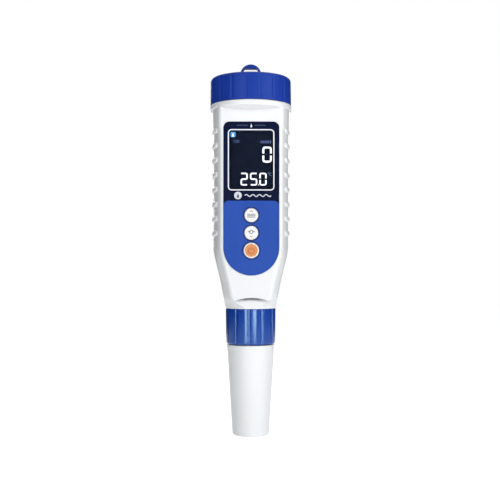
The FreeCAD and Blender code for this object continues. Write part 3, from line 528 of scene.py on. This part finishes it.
def brushedMetal(name, **changes):
    look = {**metalLook, **changes}
    material, tree, shader = startMaterial(name)
    brushed = mappedPlace(tree, {"Scale": look["brush"]})
    lines = addNoise(tree, brushed, look["lineScale"], look["lineDetail"])
    colour = mixColour(tree, setRange(tree, lines, 0, 1), look["colour"], look["lineColour"])
    colour = mixColour(tree, placeDustAndShade(tree, look), colour, look["dustColour"])
    link(tree, colour, shader.inputs["Base Color"])
    link(tree, setRange(tree, lines, *look["rough"]), shader.inputs["Roughness"])
    setSockets(shader, {"Metallic": 1.0})
    addBump(tree, shader, lines, look, placeEdge(tree, look)["Normal"])
    return material


screwSteel = brushedMetal("screwSteel", brush=(8, 8, 1))
switchSteel = brushedMetal("switchSteel", colour=(0.55, 0.55, 0.56))
contactPlate = brushedMetal(
    "contactPlate", colour=(0.72, 0.66, 0.48), lineColour=(0.80, 0.74, 0.56), brush=(6, 1, 1)
)
electrodeMetal = brushedMetal(
    "electrodeMetal", colour=(0.50, 0.50, 0.51), lineColour=(0.62, 0.62, 0.63), rough=(0.16, 0.28)
)

cellLook = {
    "bareEnd": 1.7 * mm, "bandTop": 2.2 * mm, "bandFoot": 12 * mm,  # all measured from the cells' ends
    "wrap": (0.03, 0.032, 0.036), "band": (0.62, 0.30, 0.10), "steel": (0.55, 0.54, 0.52),
    "steelFlow": (0.68, 0.67, 0.65), "rough": (0.2, 0.32), "grainScale": 1800.0, "flowScale": 90.0,
    "edgeRadius": 0.3 * mm, "wear": 0.5, "grain": 0.08, "grainDepth": 0.03 * mm,
}


def cellWrapMaterial():
    look = cellLook
    foot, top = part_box("battery_cells")
    material, tree, shader = startMaterial("cellWrap")
    height = splitPlace(tree)["Z"]
    wrapped = ringMask(tree, height, foot.z + look["bareEnd"], top.z - look["bareEnd"])
    band = ringMask(tree, height, top.z - look["bandFoot"], top.z - look["bandTop"])
    skin = placeSkin(tree, look)
    label = mixColour(tree, band, look["wrap"], look["band"])
    steel = mixColour(tree, setRange(tree, skin["Flow"], 0, 1), look["steel"], look["steelFlow"])
    link(tree, mixColour(tree, wrapped, steel, label), shader.inputs["Base Color"])
    link(tree, maths(tree, "SUBTRACT", 1.0, wrapped), shader.inputs["Metallic"])
    link(tree, setRange(tree, skin["Flow"], *look["rough"]), shader.inputs["Roughness"])
    addBump(tree, shader, skin["Height"], look, placeEdge(tree, look)["Normal"])
    return material


boardLook = {
    "mask": (0.006, 0.075, 0.028), "maskFlow": (0.009, 0.095, 0.036), "track": (0.02, 0.16, 0.06),
    "trackScale": 260.0, "trackGap": 0.03, "trackOffset": 0.5, "rough": (0.25, 0.38), "grainScale": 3000.0,
    "flowScale": 120.0, "grain": 0.3, "grainDepth": 0.04 * mm,
}


def boardMaterial():
    look = boardLook
    material, tree, shader = startMaterial("boardGreen")
    tracks = addNode(tree, "ShaderNodeTexBrick", offset=look["trackOffset"])
    setSockets(tracks, {"Scale": look["trackScale"], "Mortar Size": look["trackGap"]})
    link(tree, mappedPlace(tree, {"Rotation": (math.pi / 2, 0, 0)}), tracks.inputs["Vector"])
    skin = placeSkin(tree, look)
    mask = mixColour(tree, setRange(tree, skin["Flow"], 0, 1), look["mask"], look["maskFlow"])
    link(tree, mixColour(tree, tracks.outputs["Fac"], mask, look["track"]), shader.inputs["Base Color"])
    link(tree, setRange(tree, skin["Flow"], *look["rough"]), shader.inputs["Roughness"])
    addBump(tree, shader, tracks.outputs["Fac"], look)
    return material


def tintedMaterial(name, look):
    material, tree, shader = startMaterial(name)
    skin = placeSkin(tree, look)
    tint = mixColour(tree, setRange(tree, skin["Flow"], 0, 1), look["colour"], look["flowColour"])
    link(tree, tint, shader.inputs["Base Color"])
    link(tree, setRange(tree, skin["Flow"], *look["rough"]), shader.inputs["Roughness"])
    setSockets(shader, {"Specular IOR Level": look["specular"]})
    if "grain" in look:
        addBump(tree, shader, skin["Height"], look)
    if "clear" in look:
        setSockets(shader, {"Transmission Weight": look["clear"], "IOR": look["bend"]})
    if look.get("glow"):
        link(tree, tint, shader.inputs["Emission Color"])
        setSockets(shader, {"Emission Strength": look["glow"]})
    return material


displayLook = {
    "colour": (0.0030, 0.0060, 0.0150), "flowColour": (0.0038, 0.0072, 0.0175), "rough": (0.08, 0.16),
    "specular": 0.03, "grainScale": 2600.0, "flowScale": 40.0, "grain": 0.02, "grainDepth": 0.02 * mm,
}
windowLook = {
    "colour": (0.93, 0.95, 0.97), "flowColour": (0.96, 0.97, 0.985), "rough": (0.01, 0.03),
    "specular": 0.4, "clear": 1.0, "bend": 1.12, "grainScale": 1200.0, "flowScale": 45.0,
}
inkLook = {
    "rough": (0.4, 0.55), "specular": 0.2, "grainScale": 3500.0, "flowScale": 300.0, "thinner": 0.93,
}


def inkMaterial(name, colour, glow=0.0):
    thin = tuple(inkLook["thinner"] * channel for channel in colour)
    return tintedMaterial(name, {**inkLook, "colour": colour, "flowColour": thin, "glow": glow})


cellWrap = cellWrapMaterial()
boardGreen = boardMaterial()
displayDark = tintedMaterial("displayDark", displayLook)
smokedWindow = tintedMaterial("smokedWindow", windowLook)
# the display border is printed ink with a painted glow
glowingBorderInk = inkMaterial("glowingBorderInk", (0.80, 0.82, 0.88), 0.12)
digitGlow = inkMaterial("digitGlow", (0.90, 0.92, 0.95), 0.22)
unitGlow = inkMaterial("unitGlow", (0.055, 0.080, 0.19), 0.35)
iconGlow = inkMaterial("iconGlow", (0.075, 0.27, 0.55), 0.25)
symbolInk = inkMaterial("symbolInk", (0.17, 0.165, 0.15))
powerInk = inkMaterial("powerInk", (0.58, 0.16, 0.045))
panelInk = inkMaterial("panelInk", (0.66, 0.69, 0.76))
fadedInk = inkMaterial("fadedInk", (0.05, 0.055, 0.11))
# a dark blue for the painted shadow rings round the buttons
ringShadowPaint = inkMaterial("ringShadowPaint", (0.007, 0.020, 0.15))

finishes = {
    "housing": whiteShell, "cap_seal": rubberBlack, "front_panel": panelNavy, "keypad_overlay": keypadBlue,
    "display_lens": smokedWindow, "lcd_glass": displayDark, "lcd_backlight": backlightWhite,
    "lcd_contact_strip": rubberBlack, "main_board": boardGreen, "board_screws": screwSteel,
    "tact_switches": switchSteel, "controller_chip": chipBlack, "battery_holder": innerBlack,
    "battery_cells": cellWrap, "base_contacts": contactPlate, "battery_terminals": contactPlate,
    "probe_socket": innerBlack, "probe_flex": flexAmber, "contact_disc": innerBlack,
    "contact_springs": contactPlate, "battery_cap": capBlue, "disc_screw": screwSteel,
    "mode_button": buttonWhite, "cal_button": buttonWhite, "power_button": buttonWhite,
    "power_lens": lensOrange, "probe_body": probeGrey, "probe_seal": rubberBlack,
    "contact_pins": contactPlate, "electrodes": electrodeMetal, "temperature_sensor": electrodeMetal,
    "electrode_guard": probeGrey, "sleeve_carrier": probeGrey, "sleeve_seal": rubberBlack,
    "locking_collar": collarBlue, "protective_sleeve": sleeveShell,
}
for nodeName, node in nodes.items():
    for materialSlot in node.material_slots:
        materialSlot.material = finishes[nodeName]
print("finishes placed on", len(finishes), "nodes")


# Printed and lit marks are thin plates on a face that looks to -Y. Their sizes are in millimetres.
def layerVerts(mesh, points, y):
    return [mesh.verts.new((x * mm, y, z * mm)) for x, z in points]


def addFill(mesh, outline, frontY, backY):
    front = layerVerts(mesh, outline, frontY)
    back = layerVerts(mesh, outline, backY)
    mesh.faces.new(front)
    mesh.faces.new(back[::-1])
    for i in range(len(front)):
        j = (i + 1) % len(front)
        mesh.faces.new((front[j], front[i], back[i], back[j]))


def strokeSides(points, width, closed):
    count = len(points)
    sides = ([], [])
    for i, (x, z) in enumerate(points):
        before = points[i - 1] if closed or i else points[i]
        after = points[(i + 1) % count] if closed or i < count - 1 else points[i]
        dx, dz = after[0] - before[0], after[1] - before[1]
        reach = width / 2 / math.hypot(dx, dz)
        sides[0].append((x - dz * reach, z + dx * reach))
        sides[1].append((x + dz * reach, z - dx * reach))
    return sides


def addStroke(mesh, points, width, closed, frontY, backY):
    left, right = strokeSides(points, width, closed)
    corners = ((left, frontY), (right, frontY), (right, backY), (left, backY))
    rows = [layerVerts(mesh, side, y) for side, y in corners]
    count = len(points)
    for i in range(count if closed else count - 1):
        j = (i + 1) % count
        for near, far in zip(rows, rows[1:] + rows[:1]):
            mesh.faces.new((near[i], near[j], far[j], far[i]))
    if not closed:
        for i in (0, -1):
            mesh.faces.new([row[i] for row in rows])


def makeMark(name, face, look, body, material, fills=(), strokes=()):
    # a fill is an outline; a stroke is (points, width, closed)
    mesh = bmesh.new()
    backY = face - look.get("lift", 0) * mm
    frontY = backY - look["thickness"] * mm
    for outline in fills:
        addFill(mesh, outline, frontY, backY)
    for points, width, closed in strokes:
        addStroke(mesh, points, width, closed, frontY, backY)
    bmesh.ops.recalc_face_normals(mesh, faces=mesh.faces)
    data = bpy.data.meshes.new(name)
    mesh.to_mesh(data)
    mesh.free()
    return finishedMesh(name, data, body, material)


def arcPoints(x, z, radius, start, end, steps):
    turns = [math.radians(start + (end - start) * i / steps) for i in range(steps + 1)]
    return [(x + radius * math.cos(turn), z + radius * math.sin(turn)) for turn in turns]


def circle(x, z, radius, steps=32):
    return arcPoints(x, z, radius, 0, 360 - 360 / steps, steps - 1)


def roundedBox(left, right, low, high, corner, steps=4):
    points = []
    for x, z, start in (
        (right - corner, high - corner, 0), (left + corner, high - corner, 90),
        (left + corner, low + corner, 180), (right - corner, low + corner, 270),
    ):
        points += arcPoints(x, z, corner, start, start + 90, steps)
    return points


def towards(here, other, distance):
    share = distance / math.dist(here, other)
    return tuple(start + (end - start) * share for start, end in zip(here, other))


def blended(points, weights):
    return tuple(sum(weight * value for weight, value in zip(weights, row)) for row in zip(*points))


def roundedPath(points, corner, steps=5):
    # each inner corner becomes a curve that starts and ends the corner's length away from it
    path = [points[0]]
    for before, here, after in zip(points, points[1:], points[2:]):
        start, end = towards(here, before, corner), towards(here, after, corner)
        for i in range(steps + 1):
            share = i / steps
            weights = ((1 - share) ** 2, 2 * share * (1 - share), share**2)
            path.append(blended((start, here, end), weights))
    return path + [points[-1]]


# shares of the drop's size
dropShape = {"width": 0.62, "height": 0.95, "sink": 0.1, "taper": 1.5, "steps": 24}


def dropOutline(x, z, size):
    shape = dropShape
    points = []
    for i in range(shape["steps"]):
        turn = 2 * math.pi * i / shape["steps"]
        across = shape["width"] * math.sin(turn) * math.sin(turn / 2) ** shape["taper"]
        up = shape["height"] * math.cos(turn) - shape["sink"]
        points.append((x + size * across, z + size * up))
    return points[::-1]


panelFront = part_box("front_panel")[0].y
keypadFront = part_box("keypad_overlay")[0].y
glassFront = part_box("lcd_glass")[0].y

displayBorder = {
    "left": -11.10, "right": 10.94, "low": 120.85, "high": 150.05, "width": 0.52, "corner": 1.6,
    "cornerSteps": 8, "thickness": 0.05,
}


def makeDisplayBorder():
    look = displayBorder
    sides = (look["left"], look["right"], look["low"], look["high"])
    strokes = [(roundedBox(*sides, look["corner"], look["cornerSteps"]), look["width"], True)]
    makeMark("displayBorder", panelFront, look, "housing", glowingBorderInk, strokes=strokes)


makeDisplayBorder()

# each figure is one or two strokes on a grid one wide and two high; "up" and "down" end beside the gap
digitStrokes = {
    "0": [[(0, "up"), (0, 2), (1, 2), (1, "up")], [(0, "down"), (0, 0), (1, 0), (1, "down")]],
    "2": [[(0, 2), (1, 2), (1, 1), (0, 1), (0, 0), (1, 0)]],
    "5": [[(1, 2), (0, 2), (0, 1), (1, 1), (1, 0), (0, 0)]],
}
readings = {
    "upper": {
        "text": "0", "left": [5.42], "width": 4.58, "low": 134.27, "high": 142.04,
        "stroke": 0.92, "corner": 1.05, "gap": 0.52,
    },
    "lower": {
        "text": "250", "left": [-5.2, -0.6, 3.95], "width": 3.52, "low": 123.08, "high": 129.3,
        "stroke": 0.70, "corner": 0.8, "gap": 0.38,
    },
}
readingDot = {"before": 2, "left": 0.38, "up": 0.40, "radius": 0.24, "steps": 12}
litMark = {"thickness": 0.02, "lift": 0.01}


def digitPaths(figure, left, look):
    half = look["stroke"] / 2
    width = look["width"] - look["stroke"]
    rise = (look["high"] - look["low"] - look["stroke"]) / 2
    beside = {"up": 1 + look["gap"] / rise, "down": 1 - look["gap"] / rise}
    paths = []
    foot = look["low"] + half
    for stroke in digitStrokes[figure]:
        points = [(left + half + x * width, foot + beside.get(z, z) * rise) for x, z in stroke]
        paths.append((roundedPath(points, look["corner"]), look["stroke"], False))
    return paths


def makeDigits():
    strokes = []
    for look in readings.values():
        for figure, left in zip(look["text"], look["left"]):
            strokes += digitPaths(figure, left, look)
    lower, dot = readings["lower"], readingDot
    x = lower["left"][dot["before"]] - dot["left"]
    point = circle(x, lower["low"] + dot["up"], dot["radius"], dot["steps"])
    makeMark("displayDigits", glassFront, litMark, "housing", digitGlow, [point], strokes)


makeDigits()

displayUnits = {
    "bars": 5, "barLeft": 4.6, "barPitch": 1.1, "barWidth": 0.62, "barLow": 143.6, "barHigh": 145.0,
    "barCorner": 0.15,
}
unitRings = [  # an opening is in degrees, on the right; a ring without one is closed
    {"x": -7.85, "z": 144.55, "radius": 0.6, "opening": 120, "steps": 12, "stroke": 0.28},
    {"x": -6.45, "z": 144.55, "radius": 0.6, "opening": 0, "steps": 16, "stroke": 0.28},
    {"x": 8.35, "z": 129.3, "radius": 0.28, "opening": 0, "steps": 12, "stroke": 0.24},
    {"x": 9.45, "z": 128.6, "radius": 0.68, "opening": 100, "steps": 12, "stroke": 0.34},
]


def unitRing(ring):
    x, z, radius, half = ring["x"], ring["z"], ring["radius"], ring["opening"] / 2
    if half:
        return arcPoints(x, z, radius, half, 360 - half, ring["steps"]), ring["stroke"], False
    return circle(x, z, radius, ring["steps"]), ring["stroke"], True


def makeUnits():
    look = displayUnits
    bars = []
    for i in range(look["bars"]):
        left = look["barLeft"] + i * look["barPitch"]
        right = left + look["barWidth"]
        bars.append(roundedBox(left, right, look["barLow"], look["barHigh"], look["barCorner"]))
    strokes = [unitRing(ring) for ring in unitRings]
    makeMark("displayUnits", glassFront, litMark, "housing", unitGlow, bars, strokes)


makeUnits()

displayIcon = {
    "left": -10.05, "right": -7.65, "low": 146.6, "high": 149.05, "corner": 0.5, "drop": 0.95,
    "dropLift": 0.04,
}


def makeDisplayIcon():
    look = displayIcon
    tile = roundedBox(look["left"], look["right"], look["low"], look["high"], look["corner"])
    makeMark("displayIcon", glassFront, litMark, "housing", iconGlow, [tile])
    drop = dropOutline((look["left"] + look["right"]) / 2, (look["low"] + look["high"]) / 2, look["drop"])
    raised = {**litMark, "lift": look["dropLift"]}
    makeMark("displayIconDrop", glassFront, raised, "housing", digitGlow, [drop])


makeDisplayIcon()

panelPrint = {
    "thickness": 0.04, "dropThickness": 0.02, "headDrop": 1.0,
    "barLow": 151.95, "barHigh": 152.4, "barFrom": 1.6, "barTo": 7.0, "barCorner": 0.18,
    "emblemX": -6.45, "emblemZ": 118.15, "emblemRadius": 1.85, "emblemDrop": 1.15,
    "waveFrom": -3.2, "waveTo": 9.6, "waveHigh": 0.5, "wavePitch": 3.2, "waveWidth": 0.45, "waveSteps": 48,
}


def makeHeader():
    look = panelPrint
    length = look["barTo"] - look["barFrom"]
    bars = [
        roundedBox(left, left + length, look["barLow"], look["barHigh"], look["barCorner"])
        for left in (-look["barTo"], look["barFrom"])
    ]
    makeMark("headerBars", panelFront, look, "housing", fadedInk, bars)
    drop = dropOutline(0, (look["barLow"] + look["barHigh"]) / 2, look["headDrop"])
    makeMark("headerDrop", panelFront, look, "housing", panelInk, [drop])


def makeEmblem():
    look = panelPrint
    wave = []
    for i in range(look["waveSteps"] + 1):
        x = look["waveFrom"] + (look["waveTo"] - look["waveFrom"]) * i / look["waveSteps"]
        swing = math.sin(2 * math.pi * (x - look["waveFrom"]) / look["wavePitch"])
        wave.append((x, look["emblemZ"] + look["waveHigh"] * swing))
    disc = circle(look["emblemX"], look["emblemZ"], look["emblemRadius"])
    strokes = [(wave, look["waveWidth"], False)]
    makeMark("panelEmblem", panelFront, look, "housing", panelInk, [disc], strokes)
    raised = {"thickness": look["dropThickness"], "lift": look["thickness"]}
    drop = dropOutline(look["emblemX"], look["emblemZ"], look["emblemDrop"])
    makeMark("emblemDrop", panelFront, raised, "housing", fadedInk, [drop])


makeHeader()
makeEmblem()


def middleZ(nodeName):
    low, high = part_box(nodeName)
    return (low.z + high.z) / 2 / mm


# painted shadow: a dark blue ring on the keypad around each button, where the gap is shaded
buttonShadowRings = {
    "radii": {"mode_button": 3.35, "cal_button": 3.35, "power_button": 3.75},
    "gap": 0.23, "width": 0.50, "steps": 48, "thickness": 0.03,
}


def makeButtonShadowRings():
    look = buttonShadowRings
    shadowRings = []
    for name, buttonRadius in look["radii"].items():
        radius = buttonRadius + look["gap"] + look["width"] / 2
        shadowRings.append((circle(0, middleZ(name), radius, look["steps"]), look["width"], True))
    makeMark("buttonShadowRings", keypadFront, look, "housing", ringShadowPaint, strokes=shadowRings)


makeButtonShadowRings()

buttonPrint = {"thickness": 0.035, "stroke": 0.3}
# the sizes below are measured from the middle of each button
modeSymbol = {
    "bars": (0.45, -0.25, -0.95), "barReach": 2.0, "barHalf": 0.18, "corner": 0.14, "arrowHalf": 0.75,
    "arrowFoot": 1.55, "arrowTip": 2.15,
}
calSymbol = {
    "barFrom": 0.35, "barTo": 1.75, "barLow": 0.32, "barHigh": 0.68, "corner": 0.14, "ringUp": 0.5,
    "ringRadius": 0.85, "ringSteps": 24, "arrowHalf": 0.75, "arrowFoot": -1.5, "arrowTip": -2.1,
}
powerSymbol = {
    "barHalf": 0.24, "barLow": 0.1, "barHigh": 1.75, "corner": 0.2, "ringUp": -0.1, "ringRadius": 1.4,
    "opening": 64, "ringSteps": 28, "stroke": 0.46,
}


def printOnButton(name, nodeName, body, material, fills, strokes):
    z = middleZ(nodeName)
    fills = [[(x, z + dz) for x, dz in outline] for outline in fills]
    strokes = [([(x, z + dz) for x, dz in points], width, closed) for points, width, closed in strokes]
    makeMark(name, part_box(nodeName)[0].y, buttonPrint, body, material, fills, strokes)


def arrowStroke(look):
    half, foot, tip = look["arrowHalf"], look["arrowFoot"], look["arrowTip"]
    return [(-half, foot), (0, tip), (half, foot)], buttonPrint["stroke"], False


def printModeSymbol():
    look = modeSymbol
    reach, half = look["barReach"], look["barHalf"]
    bars = [roundedBox(-reach, reach, up - half, up + half, look["corner"]) for up in look["bars"]]
    printOnButton(
        "modeSymbol", "mode_button", "mode_button", symbolInk, bars, [arrowStroke(look)]
    )


def printCalSymbol():
    look = calSymbol
    near, far = look["barFrom"], look["barTo"]
    bars = [
        roundedBox(left, right, look["barLow"], look["barHigh"], look["corner"])
        for left, right in ((-far, -near), (near, far))
    ]
    ring = circle(0, look["ringUp"], look["ringRadius"], look["ringSteps"])
    strokes = [(ring, buttonPrint["stroke"], True), arrowStroke(look)]
    printOnButton("calSymbol", "cal_button", "cal_button", symbolInk, bars, strokes)


def printPowerSymbol():
    look = powerSymbol
    bar = roundedBox(-look["barHalf"], look["barHalf"], look["barLow"], look["barHigh"], look["corner"])
    half = look["opening"] / 2  # the opening is at the top, at 90 degrees
    ring = arcPoints(0, look["ringUp"], look["ringRadius"], 90 + half, 450 - half, look["ringSteps"])
    strokes = [(ring, look["stroke"], False)]
    printOnButton("powerSymbol", "power_lens", "power_button", powerInk, [bar], strokes)


printModeSymbol()
printCalSymbol()
printPowerSymbol()
print("marks made")


def threadTree(name, material):
    # a ridge swept along a helix, lifted and turned to its place
    tree = bpy.data.node_groups.new(name, "GeometryNodeTree")
    for title, kind in (
        ("Radius", "NodeSocketFloat"), ("Pitch", "NodeSocketFloat"), ("Turns", "NodeSocketFloat"),
        ("Foot", "NodeSocketFloat"), ("Start", "NodeSocketFloat"), ("Ridge", "NodeSocketFloat"),
        ("Steps", "NodeSocketInt"), ("Sides", "NodeSocketInt"),
    ):
        tree.interface.new_socket(title, in_out="INPUT", socket_type=kind)
    tree.interface.new_socket("Thread", in_out="OUTPUT", socket_type="NodeSocketGeometry")
    given = addNode(tree, "NodeGroupInput").outputs
    out = addNode(tree, "NodeGroupOutput")
    helix = addNode(tree, "GeometryNodeCurveSpiral")
    helix.inputs["Reverse"].default_value = True  # right-handed, as the joints turn
    link(tree, given["Steps"], helix.inputs["Resolution"])
    link(tree, given["Turns"], helix.inputs["Rotations"])
    link(tree, given["Radius"], helix.inputs["Start Radius"])
    link(tree, given["Radius"], helix.inputs["End Radius"])
    link(tree, maths(tree, "MULTIPLY", given["Pitch"], given["Turns"]), helix.inputs["Height"])
    profile = addNode(tree, "GeometryNodeCurvePrimitiveCircle")
    link(tree, given["Sides"], profile.inputs["Resolution"])
    link(tree, given["Ridge"], profile.inputs["Radius"])
    sweep = addNode(tree, "GeometryNodeCurveToMesh")
    sweep.inputs["Fill Caps"].default_value = True
    link(tree, helix.outputs[0], sweep.inputs["Curve"])
    link(tree, profile.outputs[0], sweep.inputs["Profile Curve"])
    move = addNode(tree, "GeometryNodeTransform")
    lift = addNode(tree, "ShaderNodeCombineXYZ")
    turn = addNode(tree, "ShaderNodeCombineXYZ")
    link(tree, given["Foot"], lift.inputs["Z"])
    link(tree, given["Start"], turn.inputs["Z"])
    link(tree, sweep.outputs[0], move.inputs["Geometry"])
    link(tree, lift.outputs[0], move.inputs["Translation"])
    link(tree, turn.outputs[0], move.inputs["Rotation"])
    real = addNode(tree, "GeometryNodeRealizeInstances")
    link(tree, move.outputs[0], real.inputs[0])
    smooth = addNode(tree, "GeometryNodeSetShadeSmooth")
    link(tree, real.outputs[0], smooth.inputs[0])
    paint = addNode(tree, "GeometryNodeSetMaterial")
    paint.inputs["Material"].default_value = material
    link(tree, smooth.outputs[0], paint.inputs["Geometry"])
    link(tree, paint.outputs[0], out.inputs[0])
    return tree


def growMesh(name, tree, values):
    holder = showObject(name, bpy.data.meshes.new(name))
    modifier = holder.modifiers.new("growth", "NODES")
    modifier.node_group = tree
    for item in tree.interface.items_tree:
        if item.in_out == "INPUT":
            modifier[item.identifier] = values[item.name]
    depsgraph = bpy.context.evaluated_depsgraph_get()
    mesh = bpy.data.meshes.new_from_object(holder.evaluated_get(depsgraph), depsgraph=depsgraph)
    bpy.data.objects.remove(holder)
    mesh.name = name
    return mesh


threadShape = {"pitch": 3.0, "ridge": 0.37, "steps": 72, "sides": 8}  # a cap climbs one pitch in one turn
# radius and foot in millimetres, start in degrees; mating ridges lie half a pitch apart
threads = {
    "neckThread": {
        "body": "housing", "slot": "white_shell", "material": whiteShell, "radius": 17.48, "foot": 166.4,
        "start": 0.0, "turns": 1.45,
    },
    "capThread": {
        "body": "battery_cap", "slot": "blue_cap", "material": capBlue, "radius": 17.97, "foot": 165.9,
        "start": 120.0, "turns": 1.6,
    },
    "probeNeckThread": {
        "body": "housing", "slot": "white_shell", "material": whiteShell, "radius": 10.33, "foot": 52.4,
        "start": 0.0, "turns": 2.6,
    },
    "collarThread": {
        "body": "collar", "slot": "blue_cap", "material": capBlue, "radius": 10.82, "foot": 53.9,
        "start": 0.0, "turns": 2.3,
    },
}


def makeThreads():
    shape = threadShape
    trees = {}
    for material in (whiteShell, capBlue):
        trees[material] = threadTree("thread_" + material.name, material)
    for name, look in threads.items():
        mesh = growMesh(name, trees[look["material"]], {
            "Radius": look["radius"] * mm, "Pitch": shape["pitch"] * mm, "Turns": look["turns"],
            "Foot": look["foot"] * mm, "Start": math.radians(look["start"]), "Ridge": shape["ridge"] * mm,
            "Steps": shape["steps"], "Sides": shape["sides"],
        })
        finishedMesh(name, mesh, look["body"])


makeThreads()
print("threads made")
